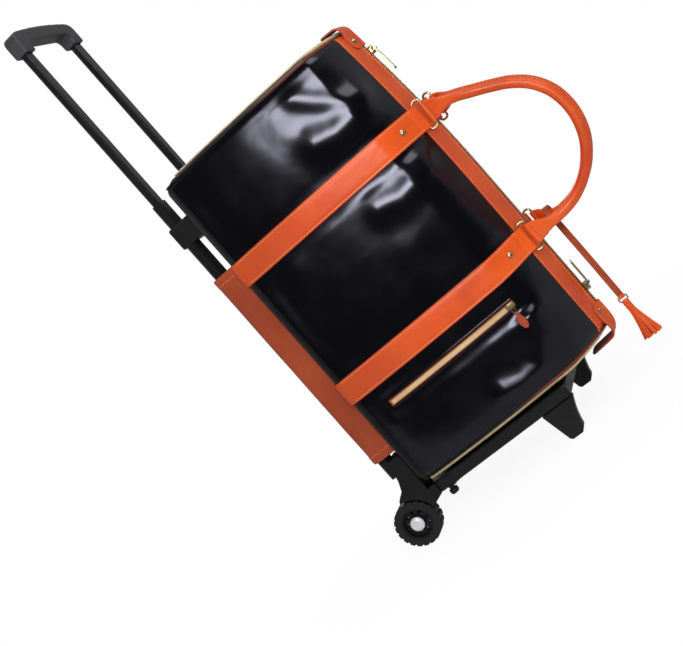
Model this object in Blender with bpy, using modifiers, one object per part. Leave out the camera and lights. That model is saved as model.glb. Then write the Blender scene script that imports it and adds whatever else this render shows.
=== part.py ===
"""Wheeled leather holdall on a telescopic trolley frame, standing on two wheels and two feet.

Frame: the wheel axle runs along X above y = 0, the ground is z = 0, the bag's front ridge and
carry handles point to -Y, the trolley handle rises along +Z behind the bag.
"""
from math import acos, atan2, cos, degrees, hypot, pi, radians, sin, sqrt

import bmesh
import bpy
from mathutils import Matrix, Vector

MM = 0.001
GAP = 0.3 * MM                  # clearance between pieces that touch

# ---- bag body ----------------------------------------------------------------------------
BAG_BOTTOM = 70 * MM            # height of the bag's wheel end above the ground
BAG_LENGTH = 520 * MM           # wheel end to handle end
BAG_HALF_WIDTH = 120 * MM       # at the base edge, where the side panels are sewn on
BAG_BACK_Y = -45 * MM           # outer face of the stiffened base, ahead of the wheel axle
BAG_DEPTH = 312 * MM            # base to the zip ridge
WALL = 3.0 * MM                 # leather and lining
END_RADIUS = 16 * MM            # roll of the wall round each end
END_PUFF = 5 * MM               # crown of the end panels
BASE_CORNER = 13 * MM           # roll of the base edges
SHOULDER_HALF = 103 * MM        # half width where the sides turn in
SHOULDER_DROP = 62 * MM         # shoulder below the ridge
SIDE_SAGITTA = 9 * MM           # outward bow of the flat of each side
SEAM_HALF = 45 * MM             # half width of the orange top band
SEAM_DROP = 13 * MM             # seam of the band below the ridge
SEAM_EDGE_ANGLE = radians(62)   # turn of the shoulder where it meets the band
RIDGE_FLAT_TO = 333 * MM        # height up to which the ridge runs straight
RIDGE_RADIUS = 2000 * MM        # bend of the ridge above that
PANEL_EDGE = radians(36)        # a wall ends here on the end roll, the end zip takes over
CAP_EDGE = radians(44)          # the end panels start here
CAP_ROLL = radians(66)

# ---- zips ---------------------------------------------------------------------------------
ZIP_HALF = 6 * MM               # tape half width left between the two top bands
CHAIN_RISE = 1.6 * MM           # closed teeth above the tape
SLIDER = (8.6 * MM, 12 * MM, 5.0 * MM)     # width, length, height
PULL_LENGTH = 38 * MM
PULL_WIDTH = 6 * MM
PULL_THICK = 1.8 * MM
UPPER_SLIDER_Z = 545 * MM
LOWER_SLIDER_Z = 128 * MM
POCKET_Z = 184 * MM             # height of the pocket zip
POCKET_FRONT_Y = -291 * MM
POCKET_BACK_Y = -92 * MM
POCKET_HALF = 8 * MM            # welt half height
POCKET_PULL_DROP = 34 * MM

# ---- straps, rings and carry handles --------------------------------------------------------
STRAP_WIDTH = 36 * MM
STRAP_THICK = 2.6 * MM
STRAP_Z = {"upper": 436.5 * MM, "lower": 230.5 * MM}
STRAP_REACH = 3 * MM            # past the band seam, to the ring
RING_WIRE = 1.6 * MM            # wire radius
RING_HALF = 21.5 * MM           # half length along the strap's width
RING_SPAN = 11 * MM             # bar to bar
RING_LIFT = 5.4 * MM            # first bar above the band
RING_LEAN = radians(8)
EYE_RADIUS = 4.0 * MM
HANDLE_RADIUS = 7.2 * MM
HANDLE_GAP_HALF = 11.5 * MM     # centre of each grip roll from the bag's mid plane
HANDLE_REACH = 134 * MM         # axis to the far side of the loop
RIVET_RADIUS = 4.5 * MM
RIVET_HEIGHT = 2.2 * MM

# ---- end tabs and tassel ------------------------------------------------------------------
TAB_WIDTH = 40 * MM
TAB_THICK = 2.4 * MM
TAB_HINGE_X = -27 * MM          # edge sewn to the near top band
TAB_REACH = 34 * MM             # along the ridge, from the end of the bag
TAB_FLAP = 30 * MM              # over the end panel
TAB_FLARE = {-1: 14 * MM, 1: 9 * MM}        # the flap stands off the end of the bag
TASSEL_X = 27.0 * MM
TASSEL_Y = -381.0 * MM
TASSEL_STRAP = (9 * MM, 2.2 * MM)
TASSEL_TOP_Z = 227.0 * MM       # middle of the far handle's lower tab, inside the strap's loop
TASSEL_LOOP = 11.6 * MM           # the loop's inner radius, round that tab
TASSEL_CLIP_Z = 84 * MM
TASSEL_LENGTH = 62 * MM
TASSEL_RADIUS = 17 * MM

# ---- trolley -----------------------------------------------------------------------------
ROD_SPACING = 155 * MM
ROD = (19 * MM, 11 * MM)
TUBE = (23 * MM, 15 * MM)
TUBE_WALL = 1.4 * MM
TROLLEY_Y = -12 * MM
TUBE_TOP = 582 * MM
TUBE_BOTTOM = 96 * MM
ROD_OVERLAP = 80 * MM
GRIP_UNDERSIDE = 859 * MM
GRIP_THICK = 20 * MM
GRIP_DEPTH = 22 * MM
GRIP_LEG = 28 * MM
GRIP_ROUND = 5 * MM
GRIP_END_DROP = 17 * MM         # the legs' rims below the underside of the bar
BUTTON = (44 * MM, 11 * MM, 8 * MM)
BUTTON_RISE = 3.5 * MM
COLLAR_Z = (512 * MM, 545 * MM)
COVER_Z = (123 * MM, 455 * MM)
COVER_HALF = 104 * MM
COVER_THICK = 2.5 * MM

# ---- running gear ---------------------------------------------------------------------------
WHEEL_RADIUS = 32.5 * MM
WHEEL_WIDTH = 22 * MM
WHEEL_X = 100 * MM
TREAD_LUGS = 20
TREAD_DEPTH = 1.8 * MM
RIM_RADIUS = 22 * MM
RIM_HOLES = 9
RIM_HOLE_RADIUS = 2.3 * MM
RIM_HOLE_CIRCLE = 15.2 * MM
AXLE_RADIUS = 4 * MM
CAP_RADIUS = 10 * MM
FENDER_GAP = 3 * MM
FENDER_WALL = 4 * MM
CHEEK = 12 * MM                 # inner cheek that holds the axle
FRAME_UNDERSIDE = 47 * MM
FRAME_HALF = 112 * MM
FOOT_X = 104 * MM
FOOT_WIDTH = 15 * MM
FOOT_TIP_Y = (-238 * MM, -263 * MM)
FOOT_TOP_Y = (-228 * MM, -278 * MM)
FRAME_FRONT_Y = -278 * MM

BAG_TOP = BAG_BOTTOM + BAG_LENGTH
RIDGE_Y = BAG_BACK_Y - BAG_DEPTH
SEAM_Y = RIDGE_Y + SEAM_DROP
SHOULDER_Y = RIDGE_Y + SHOULDER_DROP
SIDES = {"near": -1, "far": 1}

parts = bpy.data.collections.new("wheeled_holdall")
cutters = bpy.data.collections.new("cutters")
FINISHES = {
    "black_leather": ((0.012, 0.013, 0.016), 0.32, 0.0),
    "orange_leather": ((0.66, 0.10, 0.022), 0.42, 0.0),
    "gold_metal": ((0.72, 0.52, 0.24), 0.28, 1.0),
    "black_plastic": ((0.015, 0.015, 0.017), 0.45, 0.0),
    "painted_steel": ((0.025, 0.025, 0.028), 0.35, 0.6),
    "grip_rubber": ((0.06, 0.06, 0.065), 0.6, 0.0),
    "tyre_rubber": ((0.018, 0.018, 0.019), 0.7, 0.0),
    "grey_steel": ((0.62, 0.61, 0.65), 0.3, 0.8),
}


# ---- helpers ---------------------------------------------------------------------------------
def clear_scene():
    for old in list(bpy.data.objects):
        bpy.data.objects.remove(old, do_unlink=True)
    for group in (parts, cutters):
        bpy.context.scene.collection.children.link(group)


def finish_for(piece_name, finish):
    colour, rough, metal = FINISHES[finish]
    material = bpy.data.materials.new(piece_name + "_" + finish)
    material.use_nodes = True
    shader = material.node_tree.nodes["Principled BSDF"]
    shader.inputs["Base Color"].default_value = (*colour, 1.0)
    shader.inputs["Roughness"].default_value = rough
    shader.inputs["Metallic"].default_value = metal
    return material


def face_out(bm):
    bmesh.ops.recalc_face_normals(bm, faces=bm.faces)
    if bm.calc_volume(signed=True) < 0:
        bmesh.ops.reverse_faces(bm, faces=bm.faces)


def add_mesh(name, bm, group=None):
    face_out(bm)
    mesh = bpy.data.meshes.new(name)
    bm.to_mesh(mesh)
    bm.free()
    piece = bpy.data.objects.new(name, mesh)
    (group or parts).objects.link(piece)
    return piece


def dress(piece, finish, smooth=None):
    piece.data.materials.clear()
    piece.data.materials.append(finish_for(piece.name, finish))
    if smooth:
        piece.data.shade_smooth()
        piece.data.set_sharp_from_angle(angle=radians(smooth))
    return piece


def box(name, low, high, group=None):
    bm = bmesh.new()
    bmesh.ops.create_cube(bm, size=1.0)
    low, high = Vector(low), Vector(high)
    size, middle = high - low, (high + low) / 2
    for vert in bm.verts:
        vert.co = Vector(vert.co[i] * size[i] + middle[i] for i in range(3))
    return add_mesh(name, bm, group)


def cylinder(name, radius, start, end, sides=24, group=None):
    start, end = Vector(start), Vector(end)
    bm = bmesh.new()
    bmesh.ops.create_cone(bm, cap_ends=True, segments=sides, radius1=radius, radius2=radius,
                          depth=(end - start).length)
    turn = (end - start).to_track_quat("Z", "Y").to_matrix().to_4x4()
    bmesh.ops.transform(bm, matrix=Matrix.Translation((start + end) / 2) @ turn, verts=bm.verts)
    return add_mesh(name, bm, group)


def bevel(piece, width, segments=2, angle=40):
    mod = piece.modifiers.new("edges", "BEVEL")
    mod.width = width
    mod.segments = segments
    mod.limit_method = "ANGLE"
    mod.angle_limit = radians(angle)
    return apply(piece)


def apply(piece):
    """Swap a piece's mesh for its evaluated one, so that a Boolean or a join can follow."""
    bpy.context.view_layer.update()
    evaluated = piece.evaluated_get(bpy.context.evaluated_depsgraph_get())
    mesh = bpy.data.meshes.new_from_object(evaluated)
    piece.modifiers.clear()
    piece.data = mesh
    return piece


def cut(piece, cutter, operation="DIFFERENCE"):
    mod = piece.modifiers.new(operation.lower(), "BOOLEAN")
    mod.operation = operation
    mod.solver = "EXACT"
    mod.object = cutter
    if cutter.name in parts.objects:
        parts.objects.unlink(cutter)
        cutters.objects.link(cutter)
    cutter.hide_render = True
    cutter.display_type = "WIRE"
    return apply(piece)


def join(piece, *others):
    for other in others:
        cut(piece, other, "UNION")
    return piece


def curve_to_mesh(curve_piece, name, group=None):
    bpy.context.view_layer.update()
    evaluated = curve_piece.evaluated_get(bpy.context.evaluated_depsgraph_get())
    mesh = bpy.data.meshes.new_from_object(evaluated)
    bm = bmesh.new()
    bm.from_mesh(mesh)
    bm.transform(curve_piece.matrix_world)
    bmesh.ops.remove_doubles(bm, verts=bm.verts, dist=1e-6)
    bpy.data.objects.remove(curve_piece, do_unlink=True)
    return add_mesh(name, bm, group)


def plate(name, outline, low, high, axis="X", group=None):
    """Flat outline pushed from low to high along an axis (its points are the other two)."""
    curve = bpy.data.curves.new(name, "CURVE")
    curve.dimensions = "2D"
    curve.fill_mode = "BOTH"
    curve.extrude = (high - low) / 2
    spline = curve.splines.new("POLY")
    spline.points.add(len(outline) - 1)
    for point, (u, v) in zip(spline.points, outline):
        point.co = (u, v, 0, 1)
    spline.use_cyclic_u = True
    flat = bpy.data.objects.new(name, curve)
    turn = {"X": Matrix(((0, 0, 1), (1, 0, 0), (0, 1, 0))),
            "Y": Matrix(((1, 0, 0), (0, 0, -1), (0, 1, 0))),
            "Z": Matrix.Identity(3)}[axis].to_4x4()
    middle = (low + high) / 2
    shift = {"X": (middle, 0, 0), "Y": (0, middle, 0), "Z": (0, 0, middle)}[axis]
    parts.objects.link(flat)
    flat.matrix_world = Matrix.Translation(shift) @ turn
    return curve_to_mesh(flat, name, group)


def wire(name, points, radius, resolution=2, cyclic=False, group=None):
    """Round bar along points, with filled ends."""
    curve = bpy.data.curves.new(name, "CURVE")
    curve.dimensions = "3D"
    curve.bevel_depth = radius
    curve.bevel_resolution = resolution
    curve.use_fill_caps = not cyclic
    spline = curve.splines.new("POLY")
    spline.points.add(len(points) - 1)
    for point, place in zip(spline.points, points):
        point.co = (*place, 1)
    spline.use_cyclic_u = cyclic
    bar = bpy.data.objects.new(name, curve)
    parts.objects.link(bar)
    return curve_to_mesh(bar, name, group)


def turned(name, profile, axis, sides=24, group=None):
    """Screw a profile of (radius, height) points round an axis given as (origin, direction)."""
    bm = bmesh.new()
    verts = [bm.verts.new((radius, 0, height)) for radius, height in profile]
    for first, second in zip(verts, verts[1:]):
        bm.edges.new((first, second))
    piece = add_mesh(name, bm, group)
    mod = piece.modifiers.new("turn", "SCREW")
    mod.steps = mod.render_steps = sides
    mod.use_merge_vertices = True
    mod.merge_threshold = 1e-6
    apply(piece)
    bm = bmesh.new()
    bm.from_mesh(piece.data)
    bmesh.ops.remove_doubles(bm, verts=bm.verts, dist=1e-6)
    origin, direction = axis
    turn = Vector(direction).to_track_quat("Z", "Y").to_matrix().to_4x4()
    bm.transform(Matrix.Translation(origin) @ turn)
    face_out(bm)
    bm.to_mesh(piece.data)
    bm.free()
    return piece


def loft(name, rings, closed_along=False, group=None):
    """Solid through rings of equal point count; the first and last ring are capped."""
    bm = bmesh.new()
    grid = [[bm.verts.new(point) for point in ring] for ring in rings]
    count = len(grid[0])
    pairs = list(zip(grid, grid[1:]))
    if closed_along:
        pairs.append((grid[-1], grid[0]))
    for ring, following in pairs:
        for i in range(count):
            j = (i + 1) % count
            bm.faces.new((ring[i], ring[j], following[j], following[i]))
    if not closed_along:
        bm.faces.new(grid[0][::-1])
        bm.faces.new(grid[-1])
    return add_mesh(name, bm, group)


def rounded_loop(half_u, half_v, radius):
    """Rectangle with rounded corners as a closed list of points."""
    points = []
    for k, (u, v) in enumerate(((-1, -1), (1, -1), (1, 1), (-1, 1))):
        for step in range(4):
            angle = radians((180, 270, 0, 90)[k] + 30 * step)
            points.append((u * (half_u - radius) + radius * cos(angle),
                           v * (half_v - radius) + radius * sin(angle)))
    return points


def pivot(name, place, parent=None):
    """Empty on a joint's axis; what hangs from it turns or slides as one body."""
    empty = bpy.data.objects.new(name, None)
    empty.empty_display_size = 0.02
    parts.objects.link(empty)
    empty.location = place
    if parent:
        bpy.context.view_layer.update()
        empty.parent = parent
        empty.matrix_parent_inverse = parent.matrix_world.inverted()
    return empty


def hang(empty, *pieces):
    bpy.context.view_layer.update()
    for piece in pieces:
        piece.parent = empty
        piece.matrix_parent_inverse = empty.matrix_world.inverted()


def curve_points(first, control, last, count):
    """Points of a quadratic curve, ends included."""
    steps = [i / count for i in range(count + 1)]
    return [tuple((1 - t) ** 2 * a + 2 * t * (1 - t) * b + t * t * c
                  for a, b, c in zip(first, control, last)) for t in steps]


# ---- the bag's outer skin --------------------------------------------------------------------
HINGE = (-BAG_HALF_WIDTH, BAG_BACK_Y - BASE_CORNER)      # sewn base edge of the near panel
SHOULDER = (-SHOULDER_HALF, SHOULDER_Y)
SEAM = (-SEAM_HALF, SEAM_Y)
SIDE_CHORD = hypot(SHOULDER[0] - HINGE[0], SHOULDER[1] - HINGE[1])
SIDE_RADIUS = SIDE_CHORD ** 2 / (8 * SIDE_SAGITTA) + SIDE_SAGITTA / 2
CHORD_DIR = Vector((SHOULDER[0] - HINGE[0], SHOULDER[1] - HINGE[1])).normalized()
CHORD_IN = Vector((-CHORD_DIR.y, CHORD_DIR.x))           # into the bag
SIDE_CENTRE = (Vector(HINGE) + CHORD_DIR * SIDE_CHORD / 2
               + CHORD_IN * (SIDE_RADIUS - SIDE_SAGITTA))
SIDE_STEPS, SHOULDER_STEPS, BAND_STEPS, CORNER_STEPS, BASE_STEPS = 6, 4, 2, 3, 2


def side_arc(count):
    start = atan2(HINGE[1] - SIDE_CENTRE.y, HINGE[0] - SIDE_CENTRE.x) % (2 * pi)
    stop = atan2(SHOULDER[1] - SIDE_CENTRE.y, SHOULDER[0] - SIDE_CENTRE.x) % (2 * pi)
    angles = [start + (stop - start) * i / count for i in range(count + 1)]
    return [(SIDE_CENTRE.x + SIDE_RADIUS * cos(a), SIDE_CENTRE.y + SIDE_RADIUS * sin(a))
            for a in angles]


def side_point_at(y):
    """Point and outward normal of the near side arc at a given y."""
    x = SIDE_CENTRE.x - sqrt(SIDE_RADIUS ** 2 - (y - SIDE_CENTRE.y) ** 2)
    normal = (Vector((x, y)) - SIDE_CENTRE).normalized()
    return Vector((x, y)), normal


def shoulder_control():
    """Where the tangents of the side and of the band edge cross."""
    tangent = Vector((SHOULDER[0], SHOULDER[1])) - SIDE_CENTRE
    start_dir = Vector((-tangent.y, tangent.x)).normalized()
    end_dir = Vector((sin(SEAM_EDGE_ANGLE), -cos(SEAM_EDGE_ANGLE)))
    span = Vector(SEAM) - Vector(SHOULDER)
    det = start_dir.x * end_dir.y - start_dir.y * end_dir.x
    along = (span.x * end_dir.y - span.y * end_dir.x) / det
    return Vector(SHOULDER) + start_dir * along


def half_section():
    """Near half of the section, from the base's middle round to the ridge, with its breaks."""
    corner_start = (HINGE[0] + BASE_CORNER, BAG_BACK_Y)
    points = [(corner_start[0] * i / BASE_STEPS, BAG_BACK_Y) for i in range(BASE_STEPS)]
    points += curve_points(corner_start, (HINGE[0] + 0.02 * BASE_CORNER, BAG_BACK_Y), HINGE,
                           CORNER_STEPS)[:-1]
    breaks = {"hinge": len(points)}
    points += side_arc(SIDE_STEPS)[:-1]
    points += curve_points(SHOULDER, shoulder_control(), SEAM, SHOULDER_STEPS)[:-1]
    breaks["seam"] = len(points)
    tape = 1 - ZIP_HALF / SEAM_HALF
    points += [(SEAM[0] * (1 - tape * i / BAND_STEPS), SEAM[1] + (RIDGE_Y - SEAM[1]) * tape * i
                / BAND_STEPS) for i in range(BAND_STEPS)]
    breaks["tape"] = len(points)
    points += [(-ZIP_HALF, SEAM[1] + (RIDGE_Y - SEAM[1]) * tape), (0.0, RIDGE_Y)]
    return [Vector(p) for p in points], breaks


SECTION, BREAKS = half_section()


def section_normal(index):
    """Outward normal of the near half at a point of the section."""
    if index == 0:
        return Vector((0, 1))
    if index == len(SECTION) - 1:
        return Vector((0, -1))
    along = (SECTION[index + 1] - SECTION[index]).normalized()
    along += (SECTION[index] - SECTION[index - 1]).normalized()
    along.normalize()
    return Vector((along.y, -along.x))


def ridge_dip(z):
    """The ridge bends back towards the base near the handle end."""
    rise = max(0.0, z - RIDGE_FLAT_TO)
    return RIDGE_RADIUS - sqrt(RIDGE_RADIUS ** 2 - rise ** 2)


def on_skin(point, normal, station, offset):
    """A section point carried to a station (z, end, roll angle) and lifted by offset."""
    z0, end, roll = station
    flat = Vector(point) + Vector(normal) * offset
    inset = (END_RADIUS + offset) * (1 - cos(roll)) if end else 0.0
    z = z0 + end * (END_RADIUS + offset) * sin(roll)
    middle = BAG_BACK_Y - BAG_DEPTH / 2
    x = flat.x * (1 - inset / BAG_HALF_WIDTH)
    y = middle + (flat.y - middle) * (1 - inset / (BAG_DEPTH / 2))
    share = min(1.0, max(0.0, (SHOULDER_Y - y) / SHOULDER_DROP))
    return Vector((x, y + ridge_dip(z) * share, z))


def stations(edge=PANEL_EDGE):
    low, high = BAG_BOTTOM + END_RADIUS, BAG_TOP - END_RADIUS
    rows = [(low, -1, edge), (low, -1, edge / 2), (low, 0, 0.0)]
    rows += [(low + (high - low) * share, 0, 0.0) for share in (0.25, 0.5, 0.7, 0.85)]
    return rows + [(high, 0, 0.0), (high, 1, edge / 2), (high, 1, edge)]


def trimmed(first, last):
    """Section points first..last, drawn in by half a gap at both ends, with their normals."""
    points = [SECTION[i].copy() for i in range(first, last + 1)]
    normals = [section_normal(i) for i in range(first, last + 1)]
    points[0] += (points[1] - points[0]).normalized() * GAP / 2
    points[-1] += (points[-2] - points[-1]).normalized() * GAP / 2
    return points, normals


def wall(name, points, normals, side, inner=-WALL, outer=0.0, rows=None):
    """Sheet between two offsets of the skin, along the near half or mirrored to the far."""
    rings = []
    for station in rows or stations():
        ring = [on_skin(p, n, station, outer) for p, n in zip(points, normals)]
        ring += [on_skin(p, n, station, inner) for p, n in reversed(list(zip(points, normals)))]
        rings.append([Vector((-side * p.x, p.y, p.z)) for p in ring])
    return loft(name, rings)


# ---- bag walls ------------------------------------------------------------------------------
def make_base_board():
    near, normals = trimmed(0, BREAKS["hinge"])
    near, normals = near[1:], normals[1:]
    points = [Vector((-p.x, p.y)) for p in reversed(near)] + [SECTION[0]] + near
    turned_normals = [Vector((-n.x, n.y)) for n in reversed(normals)] + [Vector((0, 1))] + normals
    return dress(wall("base_board", points, turned_normals, -1), "black_leather", 40)


def make_side(label):
    points, normals = trimmed(BREAKS["hinge"], BREAKS["seam"])
    return dress(wall(label + "_side_panel", points, normals, SIDES[label]), "black_leather", 40)


def make_band(label):
    points, normals = trimmed(BREAKS["seam"], BREAKS["tape"])
    piece = wall(label + "_top_band", points, normals, SIDES[label], outer=0.5 * MM)
    return dress(piece, "orange_leather", 30)


def make_ridge_zip(label):
    """One tape of the main zip with its row of teeth, a low rib by the mid plane."""
    points, normals = trimmed(BREAKS["tape"], len(SECTION) - 1)
    rows = stations()[2:-2]
    tape = wall(label + "_ridge_zip", points, normals, SIDES[label], inner=-1.4 * MM,
                outer=-0.4 * MM, rows=rows)
    middle = points[-1]
    inner = middle + (points[0] - middle).normalized() * 3 * MM
    teeth = wall("teeth_" + label, [inner, middle], [normals[-1]] * 2, SIDES[label],
                 inner=-0.8 * MM, outer=CHAIN_RISE, rows=rows)
    return dress(join(tape, teeth), "gold_metal")


def full_ring(station, offset):
    near = [on_skin(SECTION[i], section_normal(i), station, offset) for i in range(len(SECTION))]
    far = [Vector((-p.x, p.y, p.z)) for p in reversed(near[1:-1])]
    return near + far


def make_end_panel(name, end):
    """Dished end of the bag: the roll of its rim, then a slightly crowned face."""
    z0 = BAG_TOP - END_RADIUS if end > 0 else BAG_BOTTOM + END_RADIUS
    rolls = [CAP_EDGE, CAP_ROLL, radians(90)]
    outer = [full_ring((z0, end, roll), 0.0) for roll in rolls]
    inner = [full_ring((z0, end, roll), -WALL) for roll in rolls]
    middle = Vector((0, BAG_BACK_Y - BAG_DEPTH / 2, 0))

    def drawn_in(ring, share, puff):
        rise = Vector((0, 0, end * puff))
        return [Vector(((p.x - middle.x) * share + middle.x, (p.y - middle.y) * share + middle.y,
                        p.z)) + rise for p in ring]
    outer.append(drawn_in(outer[-1], 0.5, END_PUFF * 0.8))
    inner.append(drawn_in(inner[-1], 0.5, END_PUFF * 0.8))
    bm = bmesh.new()
    grids = [[[bm.verts.new(p) for p in ring] for ring in shell] for shell in (outer, inner)]
    count = len(outer[0])
    for grid in grids:
        for ring, following in zip(grid, grid[1:]):
            for i in range(count):
                j = (i + 1) % count
                bm.faces.new((ring[i], ring[j], following[j], following[i]))
        top = sum((v.co for v in grid[-1]), Vector()) / count
        crown = bm.verts.new(top + Vector((0, 0, end * END_PUFF * 0.2)))
        for i in range(count):
            bm.faces.new((grid[-1][i], grid[-1][(i + 1) % count], crown))
    for i in range(count):
        j = (i + 1) % count
        bm.faces.new((grids[0][0][i], grids[0][0][j], grids[1][0][j], grids[1][0][i]))
    return dress(add_mesh(name, bm), "black_leather", 40)


def make_end_zip(name, end):
    """Closed zip that runs round the near rim of an end, from the base edge to the ridge."""
    z0 = BAG_TOP - END_RADIUS if end > 0 else BAG_BOTTOM + END_RADIUS
    last = BREAKS["tape"]
    rings = []
    for i in range(BREAKS["hinge"] - 1, last + 1):
        point, normal = SECTION[i], section_normal(i)
        rolls = (radians(50), CAP_ROLL, radians(82))
        low = [on_skin(point, normal, (z0, end, roll), GAP) for roll in rolls]
        high = [on_skin(point, normal, (z0, end, roll), GAP + 1.4 * MM) for roll in rolls]
        rings.append(low + high[::-1])
    return dress(loft(name, rings), "gold_metal", 30)


# ---- straps, rings and carry handles -----------------------------------------------------------
ROOF_DIR = Vector((SEAM_HALF, RIDGE_Y - SEAM_Y)).normalized()
ROOF_OUT = Vector((ROOF_DIR.y, -ROOF_DIR.x))
RING_BAR = Vector(SEAM) + ROOF_DIR * STRAP_REACH + ROOF_OUT * RING_LIFT
HANDLE_AXIS = RING_BAR + Vector((sin(RING_LEAN), -cos(RING_LEAN))) * RING_SPAN


def mirrored(point, side):
    """A near-side point for side -1, its mirror image for side +1."""
    return Vector((-side * point[0], *point[1:]))


def strap_line():
    """Points and normals from the base edge over the side and the band to the ring."""
    first, last = BREAKS["hinge"], BREAKS["seam"]
    points = [SECTION[i].copy() for i in range(first, last)]
    normals = [section_normal(i) for i in range(first, last)]
    points[0] += (points[1] - points[0]).normalized() * MM
    points += [Vector(SEAM) + ROOF_DIR * STRAP_REACH * s for s in (0.0, 0.8)]
    normals += [(section_normal(last - 1) + ROOF_OUT).normalized(), ROOF_OUT]
    return points, normals


def make_strap(label, level):
    side, z = SIDES[label], STRAP_Z[level]
    rows = [(z - STRAP_WIDTH / 2, 0, 0.0), (z + STRAP_WIDTH / 2, 0, 0.0)]
    points, normals = strap_line()
    seat = 0.5 * MM + GAP
    strap = wall("%s_strap_%s" % (label, level), points, normals, side, inner=seat,
                 outer=seat + STRAP_THICK, rows=rows)
    low, high = (z - STRAP_WIDTH / 2 + MM, z + STRAP_WIDTH / 2 - MM)
    eye = cylinder("eye", EYE_RADIUS, mirrored((*RING_BAR, low), side),
                   mirrored((*RING_BAR, high), side), 12)
    lift = Vector(SEAM) + ROOF_DIR * STRAP_REACH * 0.72 + ROOF_OUT * (seat + STRAP_THICK / 2)
    tongue = [lift - ROOF_OUT * 1.2 * MM, lift + ROOF_OUT * 1.2 * MM,
              RING_BAR + ROOF_OUT * 1.6 * MM, RING_BAR - ROOF_OUT * 3.0 * MM]
    neck = loft("neck", [[mirrored((*p, level_z), side) for p in tongue]
                         for level_z in (low, high)])
    join(strap, neck, eye)
    bore = cylinder("bore", RING_WIRE + GAP, mirrored((*RING_BAR, low - 5 * MM), side),
                    mirrored((*RING_BAR, high + 5 * MM), side), 12, cutters)
    cut(strap, bore)
    low_turn, high_turn = SECTION[BREAKS["seam"] - 2], SECTION[BREAKS["seam"] - 1]
    slant = (high_turn - low_turn).normalized()
    foot, normal = low_turn.lerp(high_turn, 0.5), Vector((slant.y, -slant.x))
    dip = ridge_dip(z) * (SHOULDER_Y - foot.y) / SHOULDER_DROP
    middle = foot + normal * (seat + STRAP_THICK) + Vector((0, dip))
    crown = middle + normal * RIVET_HEIGHT
    rivet = turned("rivet", [(0, RIVET_HEIGHT), (RIVET_RADIUS * 0.7, RIVET_HEIGHT * 0.75),
                             (RIVET_RADIUS, 0.0), (RIVET_RADIUS, -MM), (0, -MM)],
                   (mirrored((*middle, z), side), mirrored((*crown, z), side)
                    - mirrored((*middle, z), side)), 16)
    return dress(join(strap, rivet), "orange_leather", 30)


def make_ring(label, level):
    """Rectangular wire ring: one bar in the strap's eye, the other in the handle's."""
    side, z = SIDES[label], STRAP_Z[level]
    middle = (HANDLE_AXIS + RING_BAR) / 2
    unit = (HANDLE_AXIS - RING_BAR).normalized()
    path = [mirrored((*(middle + unit * u), z + v), side)
            for u, v in rounded_loop(RING_SPAN / 2, RING_HALF, 4 * MM)]
    return dress(wire("%s_ring_%s" % (label, level), path, RING_WIRE, 1, True),
                 "gold_metal", 40)


def make_carry_handle(label):
    """Rolled leather loop with a flared tab and an eye at each end."""
    side = SIDES[label]
    top, bottom = STRAP_Z["upper"], STRAP_Z["lower"]
    span = top - bottom
    reach = HANDLE_REACH
    loop = [(0.21, -0.03), (0.38, -0.082), (0.56, -0.14), (0.73, -0.205), (0.87, -0.29),
            (0.965, -0.40), (1.0, -0.52), (0.985, -0.64), (0.92, -0.76), (0.80, -0.868),
            (0.66, -0.945), (0.50, -0.998), (0.36, -1.02), (0.21, -1.025)]
    x_at = -HANDLE_GAP_HALF
    centre = [Vector((x_at + (HANDLE_AXIS.x - x_at) * max(0.0, 0.42 - u) / 0.42 * 0.6,
                      HANDLE_AXIS.y - reach * u, top + span * v)) for u, v in loop]
    handle = wire(label + "_carry_handle", [mirrored(p, side) for p in centre], HANDLE_RADIUS, 3)
    for end, tip in ((top, centre[0]), (bottom, centre[-1])):
        half = STRAP_WIDTH / 2 - 3 * MM
        rings = []
        for share, wide, thick in ((0.0, 1.0, 2.6), (0.14, 1.0, 2.8), (0.35, 0.84, 3.8),
                                   (0.58, 0.64, 5.0), (0.85, 0.52, 6.6), (1.25, 0.46, 7.3)):
            along = Vector((HANDLE_AXIS.x, HANDLE_AXIS.y, end)).lerp(tip, share)
            flat = half * wide
            thick *= MM
            rings.append([mirrored((along.x + thick * cos(a), along.y, along.z + flat * sin(a)),
                                   side) for a in (k * pi / 5 for k in range(10))])
        tab = loft("tab", rings)
        eye = cylinder("eye", EYE_RADIUS, mirrored((*HANDLE_AXIS, end - half), side),
                       mirrored((*HANDLE_AXIS, end + half), side), 12)
        join(handle, tab, eye)
        bore = cylinder("bore", RING_WIRE + GAP, mirrored((*HANDLE_AXIS, end - 30 * MM), side),
                        mirrored((*HANDLE_AXIS, end + 30 * MM), side), 12, cutters)
        cut(handle, bore)
    return dress(handle, "orange_leather", 50)


# ---- sliders and pulls --------------------------------------------------------------------------
def slider_body(name, place, out, along, width_dir):
    """Small zip slider: saddle over the teeth with a bridge for its pull."""
    width, length, height = SLIDER
    outline = [(-width / 2, 0), (width / 2, 0), (width / 2, height * 0.55),
               (width * 0.28, height), (-width * 0.28, height), (-width / 2, height * 0.55)]
    rings = []
    for share, scale in ((-0.5, 0.72), (-0.2, 1.0), (0.25, 1.0), (0.5, 0.6)):
        rings.append([place + along * length * share + width_dir * u * scale + out * v
                      for u, v in outline])
    return loft(name, rings)


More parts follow.
